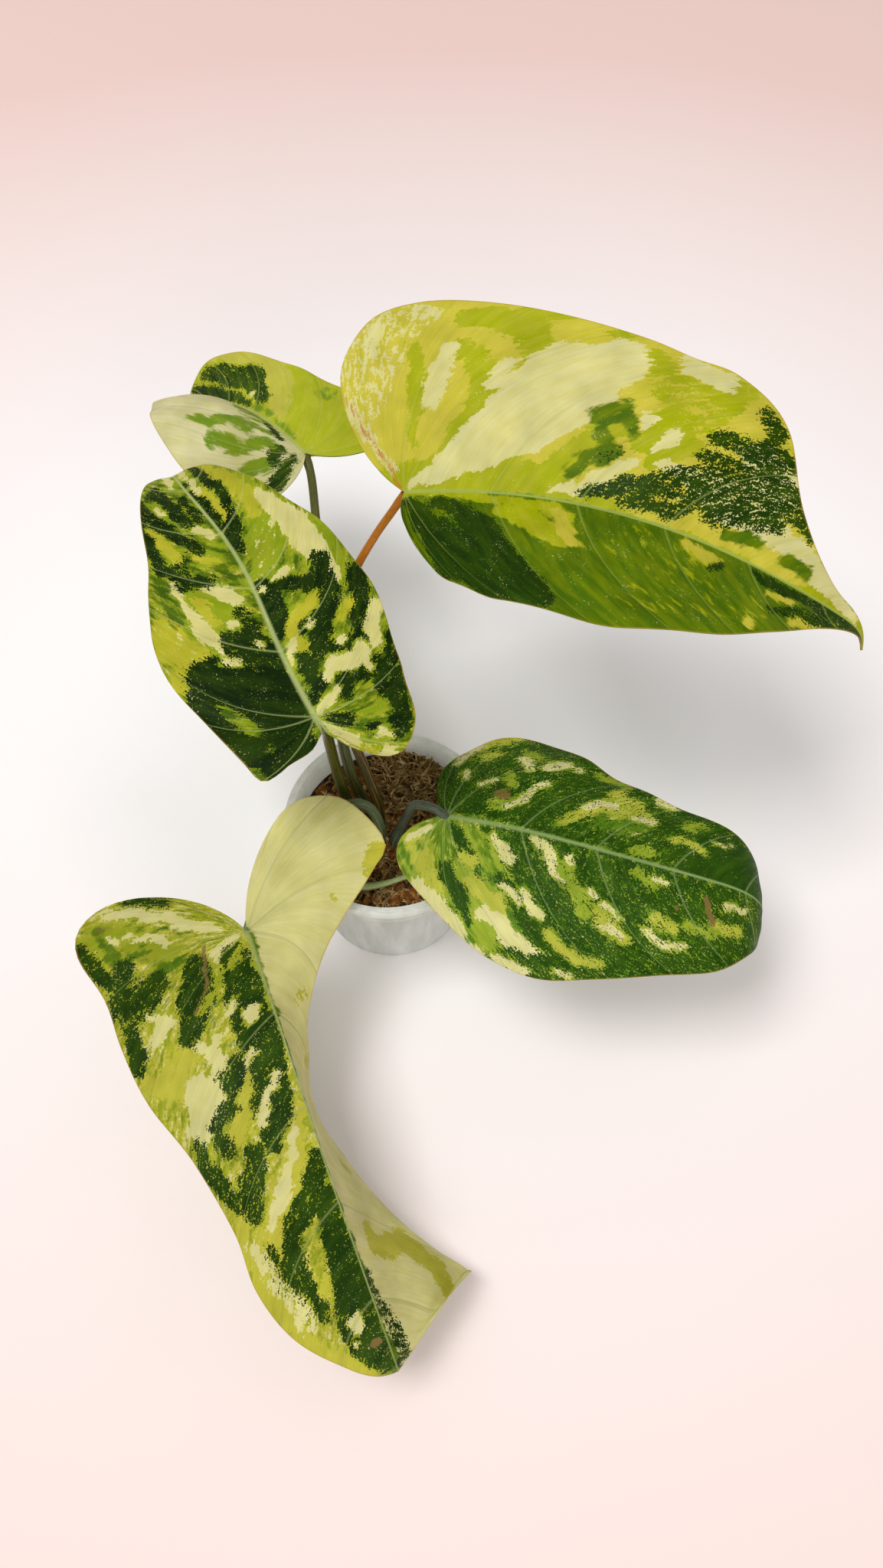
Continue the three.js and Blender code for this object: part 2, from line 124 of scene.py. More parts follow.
# Each leaf is drawn flat and then bent. Along the flat leaf s runs from the joint to the tip and t
# runs out to either side, so the lobes have negative s. turn is the way the leaf points, and
# heading, pitch, roll, fold and curl hold five values: at the lobes, the joint, one third, two
# thirds and the tip, or one number where all five are alike. Angles are in degrees, curl in degrees
# per 100 mm. left and right are as seen from above, looking toward the tip. tip_bend is where along
# the leaf its tip bends down, and how far.
LEAVES = {
    "a": {
        "joint": (9.5, 92, 205), "length": 225, "turn": -5, "tip_bend": (0.88, 35),
        "heading": (0, 0, -14, -13, -3), "pitch": (0, 8, 4, -18, -40), "roll": 12,
        "left": {
            "fold": (20, 20, 18, 15, 10), "curl": -10, "wave": 1,
            "margin": (
                (-21, 29), (-28, 45), (-26, 60), (-14, 77), (5, 83), (30, 82), (60, 79), (98, 72),
                (120, 71), (145, 57), (163, 30), (187, 11), (205, 5), (225, 0),
            ),
        },
        "right": {
            "fold": (20, 20, 20, 18, 14), "curl": -10, "wave": 1,
            "margin": (
                (5, 24), (16, 42), (33, 55), (60, 61), (95, 62), (120, 55), (145, 43), (165, 30),
                (187, 14), (205, 5), (225, 0),
            ),
        },
        "stalk": {
            "foot": (-4, 3), "end": (4.5, 90.5, 195), "radius": (2.9, 2.1, 1.7),
            "through": (
                (-5, 7, 84), (-10, 13.5, 104), (-16, 24, 122), (-19, 47, 138), (-18, 68, 150),
                (-14.3, 82, 162), (-5, 89, 178),
            ),
        },
    },
    "b": {
        "joint": (-41.8, 167, 153), "length": 112, "turn": 132, "tip_bend": (0.85, 0),
        "heading": (0, 0, 0, 10, 20), "pitch": (0, 4, -12, -34, -48), "roll": (0, 0, 5, 10, 10),
        "left": {
            "fold": (5, 15, 42, 50, 45), "curl": (-50, -60, -110, -130, -130), "wave": 0.8,
            "margin": (
                (-6, 11), (-14, 30), (-7, 43), (10, 54), (28, 59), (50, 57), (67, 48), (82, 33), (98, 16),
                (112, 0),
            ),
        },
        "right": {
            "fold": (10, 10, 18, 46, 64), "curl": -20, "wave": 0.8,
            "margin": (
                (-11, 19), (-22, 26), (-18, 35), (-6, 42), (6, 43), (21, 40), (36, 36), (58, 31),
                (80, 29), (94, 24), (105, 12), (112, 0),
            ),
        },
        "stalk": {
            "foot": (-9, 9), "end": (-38.5, 154, 147.5), "radius": (2.9, 2.5, 2),
            "through": (
                (-14, 13, 82), (-18.5, 19.5, 98), (-22, 32, 112), (-28, 72, 130), (-34.5, 122, 141),
            ),
        },
    },
    "c": {
        "joint": (-27, 0, 170), "length": 170, "turn": 120, "tip_bend": (0.85, 40),
        "heading": (0, 0, -7, 5, -6), "pitch": (5, 8, 6, -2, -30), "roll": 0,
        "left": {
            "fold": 5, "curl": -20, "wave": 1.2,
            "margin": (
                (-8, 1), (-14, 9), (-15, 20), (-16, 32), (-4, 36), (18, 42), (43, 49), (73, 46),
                (110, 33), (140, 21), (158, 10), (170, 0),
            ),
        },
        "right": {
            "fold": 5, "curl": -20, "wave": 1.2,
            "margin": (
                (-6, 1), (-21, 8), (-30, 17), (-30, 27), (-20, 37), (-4, 41), (11, 45), (43, 49),
                (74, 45), (104, 35), (138, 23), (160, 9), (170, 0),
            ),
        },
        "stalk": {
            "foot": (-16, 5), "end": (-24.5, 1.5, 161.5), "radius": (3, 2.5, 2.2),
            "through": ((-19.5, 8, 84), (-23, 10.5, 108), (-24.5, 10, 135), (-24, 5, 152)),
        },
    },
    "d": {
        "joint": (28, -9, 100), "length": 176, "turn": -14, "tip_bend": (0.72, 60),
        "heading": (0, 0, -3, 0, 8), "pitch": (0, 8, 0, -8, -40), "roll": 0,
        "left": {
            "fold": -5, "curl": -25, "wave": 1.2,
            "margin": (
                (-8, 12), (-9, 24), (-4, 39), (10, 52), (30, 58), (52, 52), (73, 44), (94, 38), (120, 34),
                (145, 27), (163, 13), (176, 0),
            ),
        },
        "right": {
            "fold": (-5, -5, -8, -8, -5), "curl": -25, "wave": 1.2,
            "margin": (
                (-8, 3), (-18, 13), (-18, 25), (-8, 36), (15, 52), (35, 61), (60, 64), (85, 57),
                (110, 48), (135, 39), (154, 25), (168, 11), (176, 0),
            ),
        },
        "stalk": {
            "foot": (3, -7), "end": (21.8, -4.8, 99.6), "radius": (3, 2.5, 2.2),
            "through": ((6.5, -4.8, 81), (9.8, -2.6, 88.5), (12.8, -1, 95.5)),
        },
    },
    "e": {
        "joint": (-61.8, -61.3, 88), "length": 208, "turn": -67, "tip_bend": (0.9, 60),
        "heading": (0, 0, -2, -1, -1), "pitch": (0, 6, -8, -22, -35), "roll": 0,
        "left": {
            "fold": (24, 3, -82, -67, -30), "curl": 0, "wave": 0.6,
            "margin": (
                (-30, 18), (-44, 31), (-48, 46), (-40, 62), (-26, 70), (-10, 73), (-3, 63), (9, 43),
                (19, 31), (32, 24), (50, 24), (76, 38), (102, 48), (130, 44), (153, 47), (172, 52),
                (191, 57), (202, 33), (208, 0),
            ),
        },
        "right": {
            "fold": 0, "curl": -10, "wave": 1.2,
            "margin": (
                (-16, 13), (-27, 24), (-38, 40), (-41, 58), (-34, 71), (-20, 74), (5, 68), (30, 67),
                (60, 62), (93, 50), (122, 44), (146, 43), (170, 35), (190, 18), (208, 0),
            ),
        },
        "stalk": {
            "foot": (-4, -5), "end": (-60.5, -49, 82.5), "radius": (3, 2.5, 2.2),
            "through": ((-4.5, -2.5, 82), (-9, 1, 90), (-18, 0, 94.5), (-38, -8, 92.5), (-55, -26, 86)),
        },
    },
}

# The markings of each leaf, painted in order as strokes between circles of (s, t, radius) in mm,
# with t negative on the right half. A stroke's second value is how much of it is covered: below 1
# it breaks up into marbling. The ground under all strokes is lime.
PAINT = {
    "a": (
        ("yellow", 1, (-15, 50, 40), (40, 60, 40), (110, 45, 45), (160, 30, 30)),
        ("cream", 0.45, (-18, 40, 12), (-12, 66, 14), (2, 76, 8)),
        ("lime", 0.85, (4, 62, 3), (5, 40, 3.5), (4, 20, 2)),
        ("lime", 1, (23, 62, 4), (30, 52, 5), (30, 40, 4), (22, 25, 4), (14, 12, 2)),
        ("lime", 1, (20, 76, 2), (34, 74, 5), (44, 72, 6), (48, 60, 5), (50, 50, 4), (45, 44, 2.5)),
        ("lime", 1, (44, 80, 2.5), (56, 80, 1.5)),
        ("lime", 1, (75, 74, 3)),
        ("cream", 0.8, (-15, 60, 2), (-13, 71, 3.5)),
        ("cream", 1, (10, 37, 2.5), (13, 52, 3.5), (18, 62, 3)),
        ("cream", 1, (37, 56, 2.5), (34, 46, 2.5), (42, 50, 2)),
        ("cream", 0.8, (10, 77, 3)),
        ("cream", 0.9, (-23, 36, 2), (-14, 24, 1.8), (-5, 9, 1.2)),
        ("cream", 1, (3, 2.5, 1), (12, 7, 4), (30, 19, 10), (46, 32, 15), (62, 50, 18), (77, 61, 10)),
        ("lime", 1, (88, 68, 3), (97, 56, 7), (112, 52, 9), (122, 63, 5)),
        ("lime", 1, (104, 42, 8), (92, 32, 4), (112, 34, 4), (100, 25, 4)),
        ("yellow", 0.4, (97, 56, 7), (112, 50, 9)),
        ("lime", 1, (56, 9, 2.5), (66, 16, 5), (74, 25, 5), (80, 36, 6)),
        ("mid", 0.85, (74, 38, 4), (82, 42, 4), (88, 36, 3)),
        ("mid", 0.9, (76, 30, 3), (84, 24, 4), (74, 18, 3), (68, 11, 1.5)),
        ("dark", 0.5, (80, 21, 2.5), (87, 25, 2.5)),
        ("cream", 1, (64, 2.5, 1.5), (74, 8, 2.5), (84, 14, 3.5), (92, 22, 1.5)),
        ("cream", 1, (102, 68, 4), (116, 66, 3.5)),
        ("cream", 1, (92, 40, 2), (95, 43, 1.6)),
        ("cream", 1, (99, 30, 1.8), (104, 37, 2.4)),
        ("cream", 1, (103, 23, 1.5), (112, 22, 2.5), (126, 20, 8), (142, 20, 10),
         (150, 34, 10), (136, 42, 6)),
        ("yellow", 1, (131, 56, 3), (134, 50, 2.5)),
        ("cream", 1, (142, 14, 4), (158, 15, 5), (174, 12, 5), (192, 6, 3), (206, 3, 1.5)),
        ("dark", 0.84, (74, 6, 2.2), (86, 8, 3.7), (92, 12, 4.2), (100, 14, 5.2), (106, 17, 3.2)),
        ("dark", 0.82, (92, 5, 2.7), (112, 7, 4.2), (117, 12, 3.2)),
        ("dark", 0.79, (116, 10, 2.7), (122, 16, 3.7), (124, 24, 3.2)),
        ("dark", 0.77, (122, 20, 3.2), (131, 26, 4.2), (134, 33, 3.7)),
        ("dark", 0.79, (126, 12, 3.2), (136, 17, 4.2), (147, 18, 4.2), (155, 18, 2.7)),
        ("dark", 0.82, (118, 42, 3.2), (130, 43, 4.2), (142, 44, 4.7), (152, 46, 3.7)),
        ("dark", 0.83, (134, 58, 3.2), (141, 54, 4.2), (139, 46, 3.7)),
        ("dark", 0.77, (118, 33, 3.2), (132, 34, 4.2), (146, 36, 5.2), (158, 32, 4.7), (165, 26, 3.2)),
        ("dark", 0.81, (142, 26, 4.2), (152, 25, 4.7), (164, 25, 3.7), (171, 22, 2.7)),
        ("dark", 0.74, (104, 15, 5), (122, 22, 7), (142, 30, 9), (158, 28, 6)),
        ("dark", 0.7, (126, 10, 4), (148, 16, 5)),
        ("mid", 1, (138, 6, 2), (146, 9, 2.5), (152, 8, 2)),
        ("mid", 1, (165, 8, 2.5), (174, 8, 2.5)),
        ("mid", 1, (10, -14, 13), (50, -35, 39), (100, -30, 41), (150, -22, 28), (205, -6, 12)),
        ("lime", 0.25, (96, -14, 10), (128, -20, 14), (150, -24, 10), (110, -42, 8)),
        ("lime", 1, (6, -2, 1.2), (40, -3, 2.5), (62, -5, 3.5), (72, -9, 3)),
        ("lime", 1, (44, -11, 4), (60, -16, 5.5), (74, -24, 5)),
        ("yellow", 0.9, (68, -8, 2), (76, -18, 3), (80, -25, 2.5)),
        ("yellow", 1, (122, -5, 1.6), (130, -8, 3.2), (137, -6, 1.6)),
        ("yellow", 1, (160, -11, 1), (172, -11, 1.2)),
        ("yellow", 1, (174, -20, 1.2), (190, -12, 1.2)),
        ("yellow", 0.9, (154, -32, 2)),
        ("dark", 0.98, (3, -6, 2.5), (12, -18, 6), (22, -32, 9), (34, -44, 10), (50, -52, 8),
         (76, -58, 4)),
        ("dark", 0.98, (14, -8, 3), (26, -12, 4), (36, -24, 8), (50, -38, 8), (64, -48, 7), (78, -57, 4)),
        ("dark", 0.92, (138, -10, 2.4), (134, -14, 1.2)),
        ("dark", 0.97, (156, -5, 3), (172, -5, 3.5), (190, -4, 4), (214, -1, 4)),
        ("dark", 0.75, (162, -19, 2), (178, -14, 3), (196, -7, 3)),
    ),
    "b": (
        ("cream", 1, (-5, 25, 30), (40, 25, 40), (90, 8, 30)),
        ("mid", 0.9, (3, 22, 3.5), (6, 32, 4)),
        ("mid", 0.9, (11, 12, 2.5), (19, 28, 4.5), (25, 38, 4)),
        ("mid", 0.85, (20, 8, 2.5), (32, 22, 5), (33, 34, 3), (42, 41, 1.2)),
        ("mid", 0.6, (30, 6, 5), (42, 10, 5)),
        ("dark", 1, (-9, 27, 3), (-4, 17, 3.5), (0, 7, 1.8)),
        ("dark", 1, (3, 17, 3), (8, 10, 2.5)),
        ("dark", 1, (14, 5, 1.8), (26, 3.5, 1.5)),
        ("lime", 1, (-8, -20, 16), (22, -24, 22)),
        ("yellow", 1, (30, -6, 4), (44, -20, 7), (62, -30, 5), (88, -29, 4)),
        ("mid", 0.5, (22, -32, 5)),
        ("mid", 0.7, (8, -2, 1.5), (45, -4, 2)),
        ("dark", 0.9, (46, -10, 4), (60, -16, 7), (76, -17, 6), (92, -19, 3.5)),
        ("dark", 1, (50, -2.5, 2), (75, -6, 3), (100, -12, 3)),
        ("cream", 1, (54, -9.5, 1.6)),
    ),
    "c": (
        ("yellow", 0.4, (-20, 0, 60), (170, 0, 60)),
        ("cream", 0.2, (-20, 0, 60), (170, 0, 60)),
        ("mid", 0.5, (-20, 0, 60), (170, 0, 60)),
        ("yellow", 1, (34, 45, 3), (44, 34, 6), (52, 41, 8), (62, 42, 6)),
        ("cream", 0.25, (44, 34, 6), (60, 42, 7)),
        ("lime", 1, (55, 12, 4), (64, 19, 5), (76, 24, 4)),
        ("yellow", 1, (57, 21, 2), (70, 24, 2.5)),
        ("cream", 1, (41, 22, 1), (48, 24, 2.5), (58, 27, 3.5), (68, 31, 2), (75, 32, 1)),
        ("cream", 1, (65, 9, 2.5), (71, 14, 3.2), (75, 17, 2)),
        ("cream", 1, (78, 32, 2.5), (84, 32, 2)),
        ("mid", 0.75, (75, 5, 1.5), (86, 12, 2.5), (96, 18, 1.5)),
        ("mid", 0.7, (64, 36, 3), (78, 37, 3), (92, 35, 3)),
        ("dark", 0.98, (-9, 18, 12.8), (10, 20, 21.8), (22, 30, 14.8), (34, 30, 8.8), (36, 36, 5.8)),
        ("dark", 0.90, (32, 10, 12.8), (44, 12, 9.8)),
        ("dark", 0.74, (50, 8, 5.8), (56, 9, 4.8)),
        ("mid", 0.95, (5, 24, 1.5), (11, 29, 2.5), (18, 32, 1.5)),
        ("lime", 0.6, (7, 25, 1), (11, 29, 2)),
        ("mid", 0.8, (-6, 22, 1.3)),
        ("cream", 1, (41, 7, 1.6)),
        ("cream", 1, (53, 14, 2.2)),
        ("cream", 1, (35, 18, 1.5), (38, 24, 1.2)),
        ("dark", 0.84, (79, 17, 3.3), (82, 27, 3.8), (92, 26, 4.8), (97, 21, 2.8)),
        ("dark", 0.98, (96, 31, 3.3), (108, 31, 3.3), (122, 28, 2.8), (134, 23, 2.3)),
        ("yellow", 1, (88, 10, 1.2), (95, 17, 1.5)),
        ("yellow", 1, (98, 23, 1.5), (108, 26, 1.8), (122, 24, 1.2)),
        ("dark", 0.89, (97, 13, 2.6), (110, 18, 3), (128, 21, 2.8), (139, 20, 2.3)),
        ("dark", 0.89, (108, 9, 2.6), (124, 11, 3.2), (143, 12, 2.8)),
        ("dark", 0.79, (112, 4, 2.3), (132, 5, 2.6)),
        ("cream", 1, (101, 4, 1.5), (109, 8, 2)),
        ("cream", 0.9, (125, 17, 1), (131, 16, 1)),
        ("cream", 0.75, (142, 4, 1.5), (164, 3, 2.5)),
        ("lime", 1, (75, -5, 3), (86, -13, 7), (97, -19, 5)),
        ("cream", 0.3, (75, -5, 3), (86, -13, 7), (97, -19, 5)),
        ("yellow", 1, (104, -19, 3), (116, -21, 4), (130, -19, 4), (156, -10, 2.5)),
        ("yellow", 0.9, (108, -6, 2.5), (132, -6, 2.5)),
        ("cream", 1, (56, -32, 1.5), (64, -36, 3), (75, -31, 5), (90, -31, 6), (102, -27, 4),
         (114, -25, 2)),
        ("lime", 0.9, (60, -41, 2), (78, -42, 2), (88, -39, 1.5)),
        ("dark", 0.90, (-24, -24, 2.8), (-18, -30, 5.8), (-6, -34, 6.8), (8, -38, 6.8)),
        ("dark", 0.84, (-16, -19, 2.8), (-7, -11, 2.8), (-1, -5, 1.8)),
        ("mid", 0.9, (-12, -14, 1.5), (-7, -20, 3), (-9, -27, 2.5)),
        ("lime", 1, (-8, -18, 1.5), (-8, -25, 2.5)),
        ("cream", 1, (-23, -24, 1), (-19, -20, 1.2)),
        ("dark", 0.98, (7, -3, 2.3), (14, -8, 4.3), (28, -8, 3.8)),
        ("dark", 0.94, (4, -17, 3.8), (12, -21, 4.8), (9, -29, 4.8), (12, -36, 4.8)),
        ("dark", 0.90, (24, -14, 4.8), (27, -22, 4.3), (26, -34, 4.8)),
        ("dark", 0.94, (28, -15, 3.8), (40, -20, 5.8), (52, -27, 5.8), (70, -31, 4.8)),
        ("dark", 0.94, (40, -12, 3.8), (46, -24, 4.8)),
        ("dark", 0.98, (34, -38, 4.8), (48, -41, 5.8), (62, -45, 3.8)),
        ("dark", 0.90, (4, -42, 3.8), (22, -46, 3.3)),
        ("dark", 0.96, (44, -3, 4.3), (56, -5, 4.8), (67, -5, 4.3), (64, -14, 3.8), (60, -22, 3.8)),
        ("yellow", 1, (32, -10, 2), (40, -7, 2.5), (47, -12, 2.5), (51, -20, 2.5), (55, -23, 1.5)),
        ("cream", 1, (-3, -1.5, 1), (-14, -6, 2.5), (-24, -12, 3.5), (-30, -21, 2)),
        ("yellow", 0.9, (-20, -9, 1.5), (-26, -16, 1.5)),
        ("cream", 1, (2, -3, 1.2), (4, -8, 2.2), (6, -14, 1.5)),
        ("cream", 1, (14, -13, 2), (18, -18, 3.6), (16, -26, 4.5), (23, -32, 2.5)),
        ("cream", 1, (9, -32, 1.5), (21, -34, 2)),
        ("cream", 1, (25, -2, 1), (34, -5, 1.8), (37, -7, 1)),
        ("cream", 1, (29, -25, 1.4), (30, -27, 1)),
        ("yellow", 1, (40, -30, 1.2), (45, -35, 2.2)),
        ("cream", 1, (22, -39, 1.5), (32, -42, 3), (41, -46, 2.5)),
        ("cream", 1, (40, -16, 1.2), (42, -18, 0.8)),
        ("cream", 1, (65, -4, 1.6)),
        ("cream", 1, (68, -10, 1.5), (71, -17, 2)),
        ("dark", 0.96, (91, -3, 2.3), (100, -6, 3.3), (107, -8, 2.3)),
        ("dark", 0.94, (110, -10, 2.6), (122, -12, 2.8), (136, -11, 2.8), (152, -9, 2.3)),
        ("dark", 0.84, (104, -2, 2), (140, -2, 2)),
        ("cream", 1, (130, -5, 1.2), (141, -5, 1.4)),
        ("cream", 0.9, (146, -3, 1.5), (162, -3, 1.8)),
    ),
    "d": (
        ("yellow", 0.5, (-20, 0, 70), (170, 0, 70)),
        ("cream", 0.35, (-20, 0, 70), (170, 0, 70)),
        ("mid", 0.62, (-20, 0, 70), (170, 0, 70)),
        ("dark", 0.76, (-20, 40, 38), (170, 40, 40)),
        ("dark", 0.74, (40, -30, 36), (170, -30, 40)),
        ("dark", 0.95, (126, 8, 20), (176, 0, 20)),
        ("mid", 0.8, (70, 15, 4), (88, 17, 4)),
        ("yellow", 0.9, (0, 43, 2), (12, 52, 2), (22, 57, 1.5)),
        ("cream", 1, (-5, 33, 1.5), (-1, 39, 2), (5, 46, 1.5)),
        ("yellow", 0.8, (8, 40, 1.5), (15, 44, 1.5)),
        ("cream", 0.9, (1, 28, 1), (3, 24, 1)),
        ("lime", 0.8, (28, 47, 2), (32, 44, 3)),
        ("cream", 1, (27, 42, 2), (31, 37, 1.8)),
        ("cream", 1, (39, 38, 1.8), (44, 43, 2.2), (48, 45, 1.5)),
        ("cream", 1, (54, 44, 1.3)),
        ("lime", 1, (22, 30, 1.6), (25, 24, 1.6)),
        ("cream", 0.9, (11, 22, 0.9), (16, 26, 0.9)),
        ("lime", 0.9, (20, 11, 2), (30, 15, 2)),
        ("cream", 1, (25, 11, 1), (32, 16, 1.6), (36, 25, 1.3), (41, 28, 0.9)),
        ("yellow", 1, (50, 9, 1.4), (56, 14, 2), (62, 19, 2), (70, 24, 2.6), (80, 24, 2.4)),
        ("cream", 1, (60, 20, 1), (68, 24, 1.4), (76, 26, 1.2)),
        ("yellow", 1, (72, 31, 1.6), (76, 33, 2), (78, 29, 1.2)),
        ("yellow", 1, (82, 30, 1.2), (86, 28, 1.8), (92, 24, 1.5)),
        ("cream", 1, (84, 22, 1.2), (92, 22, 1.4)),
        ("cream", 1, (94, 36, 2), (101, 35, 1.3)),
        ("lime", 0.9, (64, 42, 1.8), (78, 40, 1.8)),
        ("yellow", 0.9, (103, 15, 1.2), (108, 17, 1.4)),
        ("yellow", 0.9, (112, 16, 2.4), (118, 14, 2.6)),
        ("lime", 0.9, (109, 25, 1.5), (116, 28, 1.4)),
        ("lime", 1, (87, 5, 1.6), (95, 5, 1.6)),
        ("cream", 0.8, (122, 23, 0.8), (132, 23, 0.7)),
        ("lime", 1, (-14, -14, 6), (-4, -28, 9), (10, -32, 9), (30, -38, 7), (24, -50, 9)),
        ("yellow", 0.7, (-12, -16, 6), (-4, -26, 7), (2, -34, 6)),
        ("mid", 0.8, (-17, -19, 1.5), (-13, -27, 1.2)),
        ("mid", 0.7, (-4, -7, 1.2), (-9, -16, 1.6)),
        ("mid", 0.7, (2, -14, 2), (2, -24, 1.5)),
        ("cream", 1, (-15, -15, 1.3), (-6, -6, 1)),
        ("lime", 1, (12, -5, 2), (22, -14, 4), (32, -25, 4), (40, -34, 2)),
        ("mid", 0.55, (12, -5, 2), (22, -14, 5), (30, -26, 4)),
        ("cream", 1, (24, -6, 1.3), (30, -11, 1.8), (34, -14, 1.3)),
        ("yellow", 1, (18, -30, 3), (30, -36, 4), (36, -42, 3)),
        ("cream", 1, (-6, -34, 2), (8, -45, 3), (20, -53, 2.5), (30, -59, 1.5)),
        ("cream", 1, (27, -42, 3), (38, -46, 4.5), (48, -52, 4), (56, -54, 2.6)),
        ("cream", 1, (38, -60, 1.5), (52, -62, 2)),
        ("lime", 1, (28, -49, 2.5), (34, -55, 3)),
        ("mid", 0.9, (22, -47, 1.4), (26, -55, 1.8)),
        ("mid", 0.8, (40, -40, 1.5), (50, -48, 1.5)),
        ("dark", 0.95, (4, -5, 2), (9, -11, 3), (14, -17, 2)),
        ("yellow", 1, (11, -18, 1.8), (16, -20, 2.4)),
        ("dark", 0.96, (5, -23, 2), (7, -29, 3.5), (14, -35, 4), (18, -42, 2.5), (22, -47, 1)),
        ("dark", 0.9, (30, -23, 2), (40, -32, 4.5), (50, -41, 4.5), (60, -50, 3)),
        ("dark", 0.9, (44, -55, 1.5), (52, -57, 2.5), (62, -56, 3)),
        ("cream", 1, (33, -27, 1), (38, -31, 1.6), (42, -34, 1)),
        ("cream", 1, (43, -28, 1.2), (49, -35, 2), (54, -38, 1.8)),
        ("cream", 1, (42, -3, 1.4), (50, -8, 2.4), (55, -13, 1.8), (60, -19, 1.4)),
        ("lime", 0.9, (58, -12, 1.6), (66, -21, 3), (72, -32, 2.4)),
        ("cream", 1, (60, -8, 1), (63, -11, 0.8)),
        ("cream", 1, (72, -20, 1.4), (75, -21, 1)),
        ("cream", 0.9, (80, -24, 1), (88, -28, 1)),
        ("lime", 1, (90, -7, 1.4), (98, -9, 1.2)),
        ("cream", 1, (99, -5, 1.3), (104, -6, 1)),
        ("yellow", 1, (78, -28, 1.4), (86, -34, 2), (92, -38, 2)),
        ("cream", 1, (84, -33, 1.2), (90, -37, 1.5)),
        ("yellow", 1, (102, -25, 1.4), (112, -27, 1.4)),
        ("lime", 1, (118, -24, 1.4), (128, -24, 1.2)),
        ("cream", 0.9, (100, -31, 1.2), (110, -35, 1.6), (118, -33, 1)),
        ("yellow", 1, (60, -45, 1.8), (70, -48, 1.8), (84, -51, 1.2)),
        ("cream", 0.8, (66, -58, 1.3), (74, -58, 1)),
        ("yellow", 1, (130, -20, 1.5), (142, -20, 1)),
        ("cream", 1, (133, -10, 1), (142, -9, 1.2)),
        ("dark", 0.32, (-10, 40, 40), (176, 20, 40)),
        ("dark", 0.26, (30, -6, 12), (176, -30, 40)),
    ),
    "e": (
        ("yellow", 1, (-30, 45, 40), (40, 20, 40), (110, 30, 45), (190, 30, 45)),
        ("cream", 1, (-30, 45, 40), (40, 20, 40), (110, 30, 45), (190, 30, 45)),
        ("yellow", 1, (-9, 69, 3.5), (-4, 61, 3)),
        ("yellow", 0.7, (0, 41, 2)),
        ("yellow", 0.9, (141, 19, 3), (150, 17, 4.5), (156, 27, 5), (158, 38, 5),
         (176, 45, 4), (200, 37, 3)),
        ("yellow", 0.6, (116, 34, 5)),
        ("yellow", 0.5, (36, 14, 3), (34, 20, 3)),
        ("yellow", 0.5, (62, 26, 4)),
        ("mid", 1, (0, 0, 1), (205, 0, 1.2)),
        ("mid", 0.6, (72, 1, 1), (90, 2, 3), (108, 1, 1)),
        ("dark", 0.66, (158, 2, 2.5), (180, 6, 3.5), (200, 4, 4)),
        ("lime", 1, (-10, -40, 40), (80, -38, 37), (160, -36, 35)),
        ("yellow", 0.55, (-10, -40, 40), (80, -38, 37), (160, -36, 35)),
        ("cream", 0.32, (-10, -40, 40), (80, -38, 37), (160, -36, 35)),
        ("mid", 0.3, (-10, -40, 40), (80, -38, 37), (160, -36, 35)),
        ("lime", 0.9, (-26, -62, 5), (-18, -48, 6), (-4, -36, 5)),
        ("mid", 0.7, (-22, -44, 2), (-12, -26, 2), (-3, -10, 1)),
        ("mid", 0.7, (-30, -62, 2), (-10, -60, 4), (-10, -44, 3)),
        ("cream", 0.9, (-37, -56, 2), (-30, -42, 2.5), (-18, -28, 3), (-6, -12, 2)),
        ("cream", 0.9, (-22, -58, 1.5), (-16, -42, 2), (-10, -34, 2)),
        ("dark", 0.9, (-40, -48, 1.8), (-34, -36, 2.2), (-28, -29, 1.6)),
        ("dark", 0.88, (-28, -72, 2), (-18, -70, 3.5), (-4, -67, 3), (2, -58, 5)),
        ("mid", 0.9, (2, -30, 2), (2, -44, 3)),
        ("cream", 1, (1, -5, 1), (4, -12, 2.6), (6, -17, 2)),
        ("dark", 0.92, (10, -9, 7), (30, -10, 9), (50, -10, 9), (70, -13, 9), (92, -15, 7)),
        ("dark", 0.9, (8, -26, 5), (22, -30, 8), (40, -38, 4)),
        ("dark", 0.86, (8, -46, 7), (16, -54, 8), (12, -63, 6), (-6, -56, 5)),
        ("dark", 0.9, (26, -62, 4), (44, -61, 4)),
        ("lime", 1, (8, -5, 0.8), (18, -18, 1), (28, -29, 1)),
        ("cream", 1, (36, -7, 2), (39, -10, 3.2), (42, -12, 1.6)),
        ("cream", 1, (31, -16, 1.3), (35, -19, 1.4)),
        ("cream", 0.9, (22, -50, 1), (28, -44, 3), (34, -50, 4), (36, -55, 2)),
        ("cream", 1, (43, -26, 1.5), (49, -31, 2), (44, -36, 2)),
        ("cream", 1, (52, -28, 2.5), (60, -32, 4), (70, -37, 6), (78, -45, 5), (60, -40, 4)),
        ("yellow", 1, (47, -44, 4), (56, -50, 6), (54, -58, 4)),
        ("cream", 1, (55, -14, 1.2), (60, -20, 1.8), (64, -23, 1)),
        ("dark", 0.86, (56, -22, 4), (68, -26, 4), (60, -30, 3)),
        ("cream", 1, (66, -7, 1.5), (76, -14, 1.4), (84, -20, 2)),
        ("yellow", 1, (66, -19, 1.5), (76, -26, 2.5), (86, -30, 3)),
        ("yellow", 1, (84, -2, 2), (95, -8, 3.5), (105, -15, 4.5), (118, -23, 6),
         (130, -31, 6), (142, -36, 5)),
        ("cream", 0.9, (92, -8, 1.5), (104, -16, 2), (116, -22, 2.5), (124, -30, 2)),
        ("dark", 0.82, (74, -31, 4), (80, -38, 3), (90, -35, 3.5)),
        ("dark", 0.86, (84, -48, 3), (96, -45, 4), (108, -42, 3.5)),
        ("dark", 0.82, (95, -26, 4), (106, -32, 5), (118, -36, 4), (110, -40, 4)),
        ("dark", 0.88, (106, -3, 4), (117, -9, 6), (126, -18, 5)),
